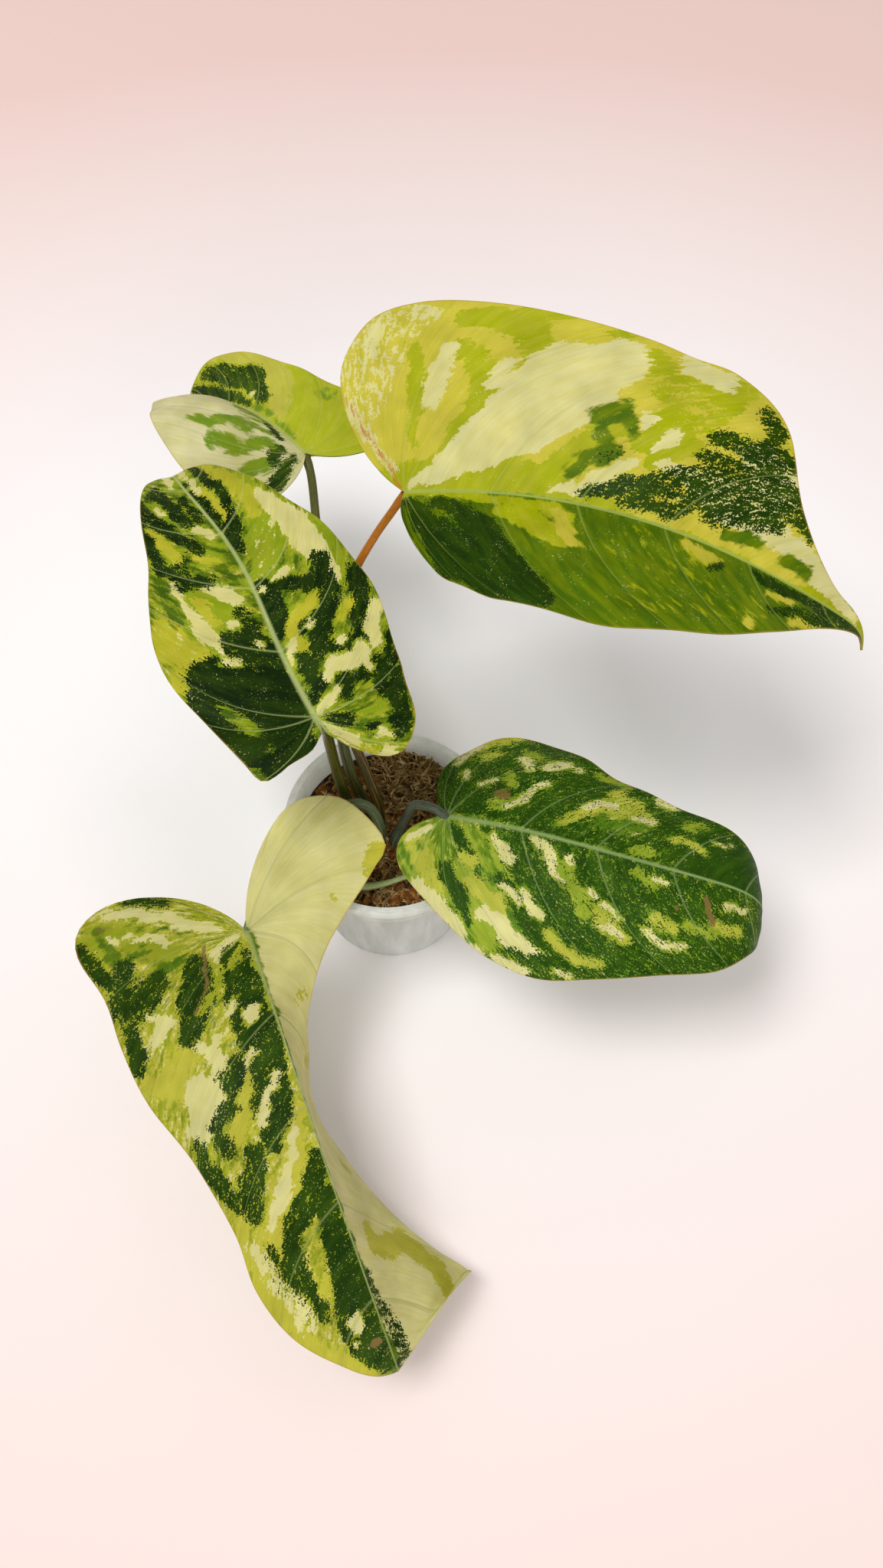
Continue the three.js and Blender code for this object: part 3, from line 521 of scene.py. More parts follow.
        ("dark", 0.95, (120, -4, 4), (140, -6, 6), (165, -8, 8), (184, -9, 8), (194, -4, 4)),
        ("dark", 0.88, (126, -20, 4), (138, -25, 5), (152, -26, 6), (164, -22, 4)),
        ("dark", 0.78, (133, -33, 3), (149, -33, 3.5)),
        ("yellow", 1, (149, -14, 1), (154, -18, 2)),
        ("cream", 1, (171, -10, 1.8), (176, -9, 1.2)),
        ("cream", 0.9, (180, -13, 1)),
        ("yellow", 1, (118, -42, 2), (150, -39, 3.5), (172, -31, 4), (186, -20, 3), (196, -9, 2)),
        ("cream", 0.6, (130, -38, 3), (166, -28, 5)),
    ),
}

SHOOT = {
    "foot": (-16, -33),
    "through": ((-12.5, -33, 74.3), (-7, -32.5, 74.2), (1, -30.5, 74)),
    "end": (12, -26.5, 74.2),
    "radius": (2, 1.9, 1.1),
}

# The tones of a leaf from the ground up; each lies over the ones before it. Beside each is the width
# in mm over which the edge of a stroke breaks up.
EDGE = {"lime": 5, "yellow": 6, "cream": 5, "mid": 6, "dark": 4.5}
TONES = tuple(EDGE)

# Brown, dry marks on the leaves, as strokes of how dry and circles of (s, t, radius).
SCARS = {
    "a": ((0.7, (-31, 47, 1), (-22, 36, 1), (-10, 18, 0.8), (-1, 1.5, 0.8)),),
    "c": ((0.45, (-20, -7, 1.2), (-8, -3, 1)),),
    "d": (
        (0.8, (21, 17, 3), (23, 18, 2.5)), (1, (27, 58, 1.2), (28, 55, 0.8)),
        (1, (122, -8, 1), (128, -20, 1.4)), (0.8, (110, -17, 1.2), (111, -18, 1)),
    ),
    "e": (
        (0.9, (-2, -21, 0.8), (12, -24, 0.7), (20, -26, 0.9), (28, -32, 0.5)),
        (0.7, (-7, -47, 1.6), (-6, -48, 1.4)), (0.55, (-30, -56, 1.5), (-27, -70, 1.2)),
        (0.9, (183, -5, 1.5), (184, -6, 1.2)),
    ),
}
SCAR_EDGE = 1.5

# How each leaf is made up. LOBE_VEINS and side_veins count the main side veins of a lobe and of the
# rest of a half, quilt is how far the blade bulges between them in mm, rib is half the midrib's width
# at the joint in mm, and vein is how clearly the side veins stand out.
LOBE_VEINS = 3
LOOKS = {
    "a": {
        "slot": "lime_leaf", "side_veins": 6, "quilt": 1.4, "rib": 1.1, "vein": 0.35,
        "midrib": "#9dab50", "worn": "#b0701e",
        "lime": "#98a002", "yellow": "#beb23c", "cream": "#cac586", "mid": "#466402", "dark": "#183201",
    },
    "b": {
        "slot": "lime_leaf", "side_veins": 5, "quilt": 0.4, "rib": 1.6, "vein": 0.35,
        "midrib": "#a9b257", "worn": "#8a6a30",
        "lime": "#a2ab1a", "yellow": "#b8b347", "cream": "#d0ca98", "mid": "#6c8a20", "dark": "#1c3606",
    },
    "c": {
        "slot": "dark_leaf", "side_veins": 5, "quilt": 0.6, "rib": 1.6, "vein": 0.45,
        "midrib": "#adb873", "worn": "#8a6a30",
        "lime": "#809414", "yellow": "#b2ac2c", "cream": "#cfc884", "mid": "#3d5a06", "dark": "#0e2203",
    },
    "d": {
        "slot": "dark_leaf", "side_veins": 5, "quilt": 0.6, "rib": 1.6, "vein": 0.45,
        "midrib": "#8da463", "worn": "#7c6436",
        "lime": "#859b26", "yellow": "#b4b440", "cream": "#d2cc8e", "mid": "#4e7412", "dark": "#214206",
    },
    "e": {
        "slot": "pale_leaf", "side_veins": 5, "quilt": 0.6, "rib": 1.4, "vein": 0.4,
        "midrib": "#93a05a", "worn": "#7c6436",
        "lime": "#88921a", "yellow": "#b2ac38", "cream": "#cac484", "mid": "#48660c", "dark": "#183201",
    },
}

# Each stalk's slot, its colour below and above, the colour of its stripes, and the heights in mm along
# it between which the colour turns.
STALK_LOOKS = {
    "a": ("orange_stalk", "#2b2c0a", "#a3600e", "#b4802c", (125, 165)),
    "b": ("green_stalk", "#33380c", "#4a4c14", "#7a7a34", (20, 120)),
    "c": ("green_stalk", "#2f3808", "#3c4210", "#74621f", (20, 90)),
    "d": ("green_stalk", "#30351e", "#474f3c", "#79826a", (15, 45)),
    "e": ("green_stalk", "#3a4418", "#5c6a46", "#8a9670", (15, 60)),
}
SHOOT_LOOK = ("pale_shoot", "#87945c", "#9aa66c", "#5f7340", (10, 40))


def linear(colour):
    """An sRGB hex colour as linear red, green, blue and alpha."""
    channels = [int(colour[i:i + 2], 16) / 255 for i in (1, 3, 5)]
    return tuple(c / 12.92 if c <= 0.04045 else ((c + 0.055) / 1.055) ** 2.4 for c in channels) + (1,)


def new_material(name):
    """An empty material, and the function that adds a node to it."""
    material = bpy.data.materials.new(name)
    material.use_nodes = True
    tree = material.node_tree
    tree.nodes.clear()

    def add(kind, inputs=None, **settings):
        """Adds a node with its settings and links.

        An input is a value, a socket, or a node for its first output. A MapRange takes its value in 0,
        its range in 1 and 2 and what that becomes in 3 and 4. A Mix of colours takes its factor in 0
        and its colours in 6 and 7.
        """
        node = tree.nodes.new("ShaderNode" + kind)
        for name, value in settings.items():
            setattr(node, name, value)
        for name, value in (inputs or {}).items():
            if isinstance(value, bpy.types.Node):
                value = value.outputs[0]
            if isinstance(value, bpy.types.NodeSocket):
                tree.links.new(value, node.inputs[name])
            else:
                node.inputs[name].default_value = value
        return node

    return material, add


def smooth(values, f):
    """A smooth curve through evenly spaced values, read at positions f."""
    v = np.asarray(values, float)
    last = len(v) - 1
    f = np.clip(f, 0, last)
    i = np.minimum(np.floor(f).astype(int), last - 1)
    u = f - i
    b = v[i]
    c = v[i + 1]
    a = np.where(i > 0, v[np.maximum(i - 1, 0)], 2 * b - c)
    d = np.where(i + 2 <= last, v[np.minimum(i + 2, last)], 2 * c - b)
    return 0.5 * (2 * b + (c - a) * u + (2 * a - 5 * b + 4 * c - d) * u * u
                  + (3 * b - a - 3 * c + d) * u ** 3)


def ease(x):
    """A share from 0 to 1 that starts and ends gently."""
    x = np.clip(x, 0, 1)
    return x * x * (3 - 2 * x)


def travel(points):
    """How far along a line of points each of them lies."""
    return np.r_[0, np.cumsum(np.linalg.norm(np.diff(points, axis=0), axis=1))]


class Blade:
    """The bent leaf: frames along the midrib, one for each mm, and a way from flat (s, t) to space."""

    def __init__(self, letter):
        self.drawing = LEAVES[letter]
        self.length = self.drawing["length"]
        self.steps = np.arange(-math.ceil(self.length / 2), self.length * 1.1 + 1)
        start, angle = self.drawing["tip_bend"]
        bend = angle * ease((self.steps / self.length - start) / (1 - start))
        heading = np.radians(self.profile(self.drawing["heading"], self.steps) + self.drawing["turn"])
        pitch = np.radians(self.profile(self.drawing["pitch"], self.steps) - bend)
        roll = np.radians(self.profile(self.drawing["roll"], self.steps))[:, None]
        flat = np.cos(pitch)
        along = np.stack([np.cos(heading) * flat, np.sin(heading) * flat, np.sin(pitch)], -1)
        level = np.stack([-np.sin(heading), np.cos(heading), 0 * heading], -1)
        self.side = level * np.cos(roll) + np.cross(along, level) * np.sin(roll)
        self.up = np.cross(along, self.side)
        self.joint = math.ceil(self.length / 2)
        centre = np.zeros_like(along)
        centre[1:] = np.cumsum((along[1:] + along[:-1]) / 2, 0)
        self.centre = centre - centre[self.joint] + np.array(self.drawing["joint"], float)

    def profile(self, values, s):
        """A profile's value at s."""
        return smooth(np.broadcast_to(values, 5), (s / self.length + 1 / 3) * 3)

    def point(self, s, t, half):
        """The place in space of flat (s, t), where t is the distance out from the midrib."""
        shape = self.drawing[half]
        fold = np.radians(self.profile(shape["fold"], s))
        curl = np.radians(self.profile(shape["curl"], s)) / 100
        curl = np.where(abs(curl) < 1e-6, 1e-6, curl)
        out = (np.sin(fold + curl * t) - np.sin(fold)) / curl
        rise = (np.cos(fold) - np.cos(fold + curl * t)) / curl
        centre, side, up = (
            np.stack([np.interp(s, self.steps, line[:, k]) for k in range(3)], -1)
            for line in (self.centre, self.side, self.up)
        )
        return centre + side * (SIGN[half] * out)[..., None] + up * rise[..., None]

    def normal(self, s, t, half):
        along = self.point(s + 0.5, t, half) - self.point(s - 0.5, t, half)
        out = self.point(s, t + 0.5, half) - self.point(s, np.maximum(t - 0.5, 0), half)
        n = np.cross(along, out) * SIGN[half]
        return n / np.linalg.norm(n, axis=-1, keepdims=True)

    def rows(self, half, vein_rows):
        """Each row's start on the midrib, and its end on the margin as s and t."""
        margin = np.array(self.drawing[half]["margin"], float)
        f = np.linspace(0, len(margin) - 1, 40 * (len(margin) - 1) + 1)
        s = smooth(margin[:, 0], f)
        t = np.maximum(smooth(margin[:, 1], f), 0)
        travelled = travel(np.stack([s, t], -1))
        start = s - LEAN * t
        crossing = np.nonzero(start <= 0)[0][-1]
        reach = np.linspace(0, travelled[crossing], LOBE_ROWS, endpoint=False)
        stations = np.linspace(0, self.length, vein_rows + 1)
        rising = np.maximum.accumulate(start[crossing:]) + 1e-6 * np.arange(len(start) - crossing)
        inner = np.r_[np.zeros(LOBE_ROWS), stations]
        outer_s, outer_t = (
            np.r_[np.interp(reach, travelled, line), np.interp(stations, rising, line[crossing:])]
            for line in (s, t)
        )
        return inner, outer_s, outer_t


def edit_all(operator, **settings):
    """Runs a mesh operator on all of the active object."""
    bpy.ops.object.mode_set(mode="EDIT")
    bpy.ops.mesh.select_all(action="SELECT")
    operator(**settings)
    bpy.ops.object.mode_set(mode="OBJECT")


def only(obj):
    bpy.ops.object.select_all(action="DESELECT")
    bpy.context.view_layer.objects.active = obj
    obj.select_set(True)


def close_up(obj, angle, merge=MERGE):
    """Merges doubled points, turns the faces outward, and smooths the edges that are blunter than angle."""
    only(obj)
    edit_all(bpy.ops.mesh.remove_doubles, threshold=merge * MM)
    edit_all(bpy.ops.mesh.normals_make_consistent, inside=False)
    bpy.ops.object.shade_smooth_by_angle(angle=math.radians(angle))
    return obj


def put(name, data):
    """A new object in the scene."""
    obj = bpy.data.objects.new(name, data)
    bpy.context.scene.collection.objects.link(obj)
    return obj


def store(obj, name, values):
    """Gives each point of a mesh a number, or a vector where values has three columns."""
    values = np.asarray(values, np.float32)
    kind, field = ("FLOAT", "value") if values.ndim == 1 else ("FLOAT_VECTOR", "vector")
    obj.data.attributes.new(name, kind, "POINT").data.foreach_set(field, values.ravel())


def slab(name, rows, columns):
    """A flat grid given a thickness, and the row, the column and the layer of each of its points."""
    bpy.ops.object.select_all(action="DESELECT")
    bpy.ops.mesh.primitive_grid_add(x_subdivisions=columns, y_subdivisions=rows, size=1)
    obj = bpy.context.object
    obj.name = name
    edit_all(bpy.ops.mesh.extrude_region_move, TRANSFORM_OT_translate={"value": (0, 0, 1)})
    co = np.zeros(len(obj.data.vertices) * 3, np.float32)
    obj.data.vertices.foreach_get("co", co)
    x, y, z = co.reshape(-1, 3).T
    return obj, np.rint((y + 0.5) * rows).astype(int), np.rint((x + 0.5) * columns).astype(int), z > 0.5


def vein_gaps(inner, outer_s, outer_t, rows_per_vein):
    """The gap in mm between two main veins, in each row and at each tenth of the way out."""
    tenths = np.linspace(0, 1, 11)
    rise_s = np.gradient(inner[:, None] + (outer_s - inner)[:, None] * tenths, axis=0)
    rise_t = np.gradient(outer_t[:, None] * tenths, axis=0)
    return np.hypot(rise_s, rise_t) * rows_per_vein[:, None]


def make_blade(letter):
    """A leaf's blade: a slab whose rows follow the side veins, quilted between them, waved at its margin."""
    blade = Blade(letter)
    look = LOOKS[letter]
    length = blade.length
    vein_rows = round(length / ROW_SPACING)
    obj, row, column, upper = slab("leaf_" + letter, LOBE_ROWS + vein_rows, 2 * HALF_COLUMNS)
    share = (abs(column - HALF_COLUMNS) / HALF_COLUMNS) ** CROWDING
    place, normal, flat, vein = np.zeros((4, len(row), 3))
    inset = np.zeros(len(row))
    in_lobe = np.arange(LOBE_ROWS + vein_rows + 1) < LOBE_ROWS
    rows_per_vein = np.where(in_lobe, LOBE_ROWS / LOBE_VEINS, vein_rows / look["side_veins"])
    for half in SIGN:
        here = (column > HALF_COLUMNS) == (half == "left")
        inner, outer_s, outer_t = blade.rows(half, vein_rows)
        k = row[here]
        v = share[here]
        ds = (outer_s - inner)[k]
        dt = outer_t[k]
        arch = 4 * v * (1 - v) * BOW
        s = inner[k] + ds * v - dt * arch
        t = np.maximum(dt * v + ds * arch, 0)
        n = blade.normal(s, t, half)
        middle = t == 0
        n[middle] += blade.normal(s[middle], t[middle], OTHER[half])
        n /= np.linalg.norm(n, axis=1, keepdims=True)
        side_step = LOBE_STEPS + SIDE_STEPS * (k - LOBE_ROWS) / vein_rows
        step = np.where(in_lobe[k], LOBE_STEPS * k / LOBE_ROWS, side_step)
        wave = blade.drawing[half]["wave"] * v * v * np.sin(step * WAVE_ANGLE + length)
        wave = wave * ease(1 - inner[k] / length)
        # phase counts the main veins and along is the way out along one, from the midrib.
        side_phase = LOBE_VEINS + look["side_veins"] * (k - LOBE_ROWS) / vein_rows
        phase = np.where(in_lobe[k], LOBE_VEINS * k / LOBE_ROWS, side_phase)
        along = np.hypot(ds, dt) * v
        quilt = look["quilt"] * np.sin(np.pi * phase) ** 2 * np.sin(np.pi * v) ** 0.7
        quilt *= ease(along / QUILT_START)
        place[here] = blade.point(s, t, half) + n * (wave + quilt - SKIN_DROP)[:, None]
        normal[here] = n
        flat[here] = np.stack([s, SIGN[half] * t, 0 * s], -1)
        gap = vein_gaps(inner, outer_s, outer_t, rows_per_vein)
        level = np.clip(v * 10, 0, 9.999)
        low = level.astype(int)
        gap = gap[k, low] * (1 - level + low) + gap[k, low + 1] * (level - low)
        vein[here] = np.stack([phase, along * SIGN[half], gap], -1)
        inset[here] = np.hypot(ds, dt) * (1 - v)
    thinned = ease((share - THIN_FROM) / (1 - THIN_FROM))
    thickness = BLADE_THICKNESS + (MARGIN_THICKNESS - BLADE_THICKNESS) * thinned
    rib = RIB_HEIGHT * (1 - RIB_TAPER * np.clip(flat[:, 0] / length, 0, 1))
    rib = rib * np.exp(-(flat[:, 1] / RIB_REACH) ** 2)
    place -= normal * np.where(upper, 0, thickness + rib)[:, None]
    obj.data.vertices.foreach_set("co", (place * MM).astype(np.float32).ravel())
    for name, values in {"flat": flat, "vein": vein, "inset": inset, "under": ~upper}.items():
        store(obj, name, values)
    paint(obj, letter, flat[:, :2])
    return close_up(obj, SOFT_EDGE, merge=0.01)


def stroke_cover(points, circles, edge):
    """How much each point is covered, from 0 to 1, by a stroke drawn from circle to circle."""
    depth = np.full(len(points), -1e9)
    for a, b in zip(circles, circles[1:] or circles):
        a = np.array(a, float)
        b = np.array(b, float)
        run = b[:2] - a[:2]
        u = np.clip(((points - a[:2]) @ run) / max(run @ run, 1e-9), 0, 1)
        centre = a[:2] + u[:, None] * run
        radius = a[2] + u * (b[2] - a[2])
        depth = np.maximum(depth, radius - np.linalg.norm(points - centre, axis=1))
    return ease(0.6 + depth / edge)


def wander(points, seed):
    """The points shifted by up to about 3 mm, in swirls 14 mm and 5 mm across, the same in each run."""
    noise.seed_set(seed)
    moved = np.array(points, float)
    for size, reach in ((14, 2.4), (5, 1.5)):
        for k, (s, t) in enumerate(points):
            shift = noise.noise_vector((s / size, t / size, seed + size))
            moved[k] += (reach * shift[0], reach * shift[1])
    return moved


def paint(obj, letter, points):
    """Gives each point the cover of each tone, stroke after stroke; a stroke clears the tones above its own.

    A stroke stays on the half of the leaf where it starts, and one that starts on the midrib covers both.
    """
    half = np.sign(points[:, 1])
    points = wander(points, ord(letter))
    covers = {tone: np.zeros(len(points)) for tone in TONES}
    for name, strength, *circles in PAINT[letter]:
        cover = strength * stroke_cover(points, circles, EDGE[name]) * (half * circles[0][1] >= 0)
        covers[name] = np.maximum(covers[name], cover)
        for tone in TONES[TONES.index(name) + 1:]:
            covers[tone] = covers[tone] * (1 - cover)
    for tone in TONES[1:]:
        store(obj, tone, covers[tone])
    worn = np.zeros(len(points))
    for strength, *circles in SCARS.get(letter, ()):
        worn = np.maximum(worn, strength * stroke_cover(points, circles, SCAR_EDGE))
    store(obj, "scar", worn)


def leaf_material(letter):
    """A variegated leaf: a waxy skin over patches that hold less green or none, streaked along the veins.

    The patches follow the cells that grew outward between the side veins, so their edges are torn into
    flecks along them; where green and pale cells mix the dark green stands as a fine net.
    """
    look = LOOKS[letter]
    length = LEAVES[letter]["length"]
    material, add = new_material("variegated_leaf_" + letter)
    names = ("flat", "vein", "under", "inset", "scar", *TONES[1:])
    stored = {name: add("Attribute", attribute_name=name).outputs for name in names}
    flat = stored["flat"]["Vector"]
    vein = stored["vein"]["Vector"]
    under = stored["under"]["Fac"]
    phase, along, gap = add("SeparateXYZ", {0: vein}).outputs

    # Patterns that run along the side veins, by the width and the length of a streak in mm. The veins
    # lean at 45 degrees, so they stand apart by 0.7 of the way from one to the next along the midrib.
    # edge tears the patches, blotch breaks up the middle green, fleck the dark green into bits 1 mm
    # wide, soft is the slow drift of tone inside a patch, and hair is the net of the finest veins.
    apart = 0.7 * length / look["side_veins"]
    seed = ord(letter) * 3.7
    pattern = {}
    for name, wide, long, shift, detail, roughness in (
        ("edge", 2.2, 5.5, (0, 0, seed), 3, 0.55),
        ("blotch", 2.75, 6.875, (5.6, 2.4, 0.8 * (seed + 9)), 4, 0.6),
        ("fleck", 1, 2.6, (0, 0, seed + 5), 2, 0.6),
        ("soft", 4, 20, (0, 0, 0), 3, 0.5),
        ("hair", 0.9, 14, (0, 0, 0), 2, 0.6),
    ):
        streaks = {0: vein, 1: (apart / wide, 1 / long, 0), 2: shift}
        streaks = add("VectorMath", streaks, operation="MULTIPLY_ADD")
        streaks = {"Vector": streaks, "Scale": 1, "Detail": detail, "Roughness": roughness}
        pattern[name] = add("TexNoise", streaks)

    # Patterns that are even all round, by the size of a grain in mm: grain roughens the patches'
    # edges, speck the dark green's, spot is a pale speck, crowd is where such specks are many, and
    # drift is the slow change from light to dark over the leaf.
    for name, size, detail, roughness in (
        ("grain", 1.3, 3, 0.65), ("speck", 0.8, 2, 0.6), ("spot", 1.1, 2, 0.7), ("crowd", 9, 1, 0.5),
        ("drift", 18, 2, 0.5),
    ):
        grains = {"Vector": flat, "Scale": 1 / size, "Detail": detail, "Roughness": roughness}
        pattern[name] = add("TexNoise", grains)
    hair = pattern["hair"]

    # A tone shows where its cover is greater than a pattern, with a soft edge, and drifts toward its
    # neighbour inside the patch.
    torn = add("Mix", {"Factor": 0.4, "A": pattern["edge"], "B": pattern["grain"]})
    torn = add("MapRange", {0: torn, 1: 0.34, 2: 0.66, 3: 0.08, 4: 0.92})
    blotches = add("MapRange", {0: pattern["blotch"], 1: 0.32, 2: 0.68, 3: 0.16, 4: 0.84})
    lace = add("Mix", {"Factor": 0.55, "A": pattern["edge"], "B": pattern["fleck"]})
    lace = add("Mix", {"Factor": 0.42, "A": lace, "B": pattern["speck"]})
    lace = add("MapRange", {0: lace, 1: 0.39, 2: 0.6, 3: 0.05, 4: 0.97})
    soft = add("MapRange", {0: pattern["soft"], 1: 0.38, 2: 0.68, 3: 0, 4: 0.32})
    drifting = {}
    for tone, neighbour in zip(TONES, ("yellow", "lime", "yellow", "lime", "mid")):
        own = {0: soft, 6: linear(look[tone]), 7: linear(look[neighbour])}
        drifting[tone] = add("Mix", own, data_type="RGBA").outputs[2]
    colour = drifting["lime"]
    for tone, limit, softness in (
        ("yellow", torn, 0.08), ("cream", torn, 0.05), ("mid", blotches, 0.16), ("dark", lace, 0.05),
    ):
        over = add("Math", {0: stored[tone]["Fac"], 1: limit}, operation="SUBTRACT")
        mask = add("MapRange", {0: over, 1: -softness, 2: softness})
        colour = add("Mix", {0: mask, 6: colour, 7: drifting[tone]}, data_type="RGBA").outputs[2]

    # Pale specks about 1 mm across lie all over the green, thicker in some places than in others.
    spots = add("Math", {0: pattern["crowd"], 1: 0.35, 2: pattern["spot"]}, operation="MULTIPLY_ADD")
    spots = add("MapRange", {0: spots, 1: 0.84, 2: 0.9, 3: 0, 4: 0.55})
    spotted = {0: spots, 6: colour, 7: linear(look["cream"])}
    colour = add("Mix", spotted, data_type="RGBA").outputs[2]

    # Each patch is a little lighter or darker from place to place, and along the small veins.
    drift = add("MapRange", {0: pattern["drift"], 1: 0.3, 2: 0.7, 3: 0.88, 4: 1.12})
    shade = add("MapRange", {0: hair, 1: 0.3, 2: 0.7, 3: 0.94, 4: 1.05})
    shade = add("Math", {0: shade, 1: drift}, operation="MULTIPLY")
    colour = add("VectorMath", {0: colour, 3: shade}, operation="SCALE").outputs[0]

    # A main vein is pale, with soft edges, 2 mm wide by the midrib and 0.7 mm from 50 mm outward.
    from_vein = add("Math", {0: phase, 1: 0.5}, operation="PINGPONG")
    from_vein = add("Math", {0: from_vein, 1: gap}, operation="MULTIPLY")
    out = add("Math", {0: along}, operation="ABSOLUTE")
    width = add("MapRange", {0: out, 1: 0, 2: 50, 3: 1.0, 4: 0.35})
    vein_mask = {0: from_vein, 1: 0, 2: width, 3: look["vein"], 4: 0}
    vein_mask = add("MapRange", vein_mask, interpolation_type="SMOOTHSTEP")

    # The midrib tapers to the tip, fades out sideways and is striped along its length.
    place = add("SeparateXYZ", {0: flat}).outputs
    beside = add("Math", {0: place["Y"]}, operation="ABSOLUTE")
    half_rib = add("MapRange", {0: place["X"], 1: 0, 2: length, 3: look["rib"], 4: 0.6})
    rib_mask = add("Math", {0: beside, 1: half_rib}, operation="DIVIDE")
    rib_mask = add("MapRange", {0: rib_mask, 1: 0.3, 2: 1.15, 3: 0.85, 4: 0})
    lines = add("VectorMath", {0: flat, 1: (1 / 40, 1 / 0.5, 0)}, operation="MULTIPLY")
    lines = add("TexNoise", {"Vector": lines, "Scale": 1, "Detail": 2})
    lines = add("MapRange", {0: lines, 1: 0.3, 2: 0.7, 3: 0.8, 4: 1.12})
    striped = add("VectorMath", {0: linear(look["midrib"])[:3], 3: lines}, operation="SCALE").outputs[0]

    # The very margin is a thin dry line, old marks are brown, and the underside is paler.
    rim = add("MapRange", {0: stored["inset"]["Fac"], 1: 0.2, 2: 0.8, 3: 0.55, 4: 0})
    worn = add("Math", {0: stored["scar"]["Fac"], 1: torn}, operation="SUBTRACT")
    worn = add("MapRange", {0: worn, 1: -0.1, 2: 0.25, 3: 0, 4: 0.85})
    below = add("Math", {0: under, 1: 0.45}, operation="MULTIPLY")
    for mask, over in (
        (vein_mask, linear(look["midrib"])), (rib_mask, striped), (rim, linear("#a8893a")),
        (worn, linear(look["worn"])), (below, linear("#8f9c5e")),
    ):
        colour = add("Mix", {0: mask, 6: colour, 7: over}, data_type="RGBA").outputs[2]

    # The skin sinks over the main veins and is finely ridged between them. The underside has no wax.
    roughness = add("MapRange", {0: hair, 1: 0.3, 2: 0.7, 3: 0.4, 4: 0.52})
    roughness = add("Math", {0: under, 1: 0.15, 2: roughness}, operation="MULTIPLY_ADD")
    sunk = add("MapRange", {0: from_vein, 1: 0, 2: 1.6, 3: 0, 4: 1}, interpolation_type="SMOOTHSTEP")
    height = add("Math", {0: hair, 1: 0.5, 2: sunk}, operation="MULTIPLY_ADD")
    height = add("Math", {0: pattern["grain"], 1: 0.25, 2: height}, operation="MULTIPLY_ADD")
    bump = add("Bump", {"Height": height, "Strength": 0.5, "Distance": 0.5 * MM})
    shader = add("BsdfPrincipled", {
        "Base Color": colour, "Roughness": roughness, "Normal": bump, "Specular IOR Level": 0.05,
        "Subsurface Weight": 0.06, "Subsurface Radius": (0.6, 1, 0.25), "Subsurface Scale": 0.4 * MM,
    })
    add("OutputMaterial", {"Surface": shader})
    return material


def mesh_from_curve(name, paths, resolution):
    """Round closed tubes along paths of (x, y, z, radius) in mm, as one mesh."""
    curve = bpy.data.curves.new(name, "CURVE")
    curve.dimensions = "3D"
    curve.bevel_depth = 1
    curve.bevel_resolution = resolution
    curve.use_fill_caps = True
    for path in paths:
        spline = curve.splines.new("POLY")
        spline.points.add(len(path) - 1)
        for point, (x, y, z, radius) in zip(spline.points, path):
            point.co = (x * MM, y * MM, z * MM, 1)
            point.radius = radius * MM
    only(put(name, curve))
    bpy.ops.object.convert(target="MESH")
    return close_up(bpy.context.object, SOFT_EDGE)


def tube(name, path, radii, steps=80):
    """A round tapering stem along a smooth path; it knows its own girth and length for its stripes."""
    path = np.array(path, float)
    f = np.linspace(0, len(path) - 1, steps)
    points = np.stack([smooth(path[:, k], f) for k in range(3)], -1)
    share = np.linspace(0, 1, steps)
    widths = smooth(radii, share * (len(radii) - 1))
    # The stem swells into a knuckle at its end, and is never quite even.
    widths = widths * (1 + 0.16 * ease((share - 0.9) / 0.06) + 0.02 * np.sin(share * 37))
    obj = mesh_from_curve(name, [np.column_stack([points, widths])], 5)
    tangents = np.gradient(points, axis=0)
    tangents /= np.linalg.norm(tangents, axis=1, keepdims=True)
    sides = [Vector(tangents[0]).orthogonal().normalized()]
    for tangent in tangents[1:]:
        side = sides[-1] - sides[-1].project(Vector(tangent))
        sides.append(side.normalized())
    travelled = travel(points)
    stem = np.zeros((len(obj.data.vertices), 3))
    for k, vertex in enumerate(obj.data.vertices):
        place = np.array(vertex.co) / MM
        nearest = int(np.argmin(np.linalg.norm(points - place, axis=1)))
        away = Vector(place - points[nearest])
        side = sides[nearest]
        across = side.cross(Vector(tangents[nearest]))
        angle = math.atan2(away.dot(across), away.dot(side))
        stem[k] = (math.cos(angle), math.sin(angle), travelled[nearest])
    store(obj, "stem", stem)
    return obj


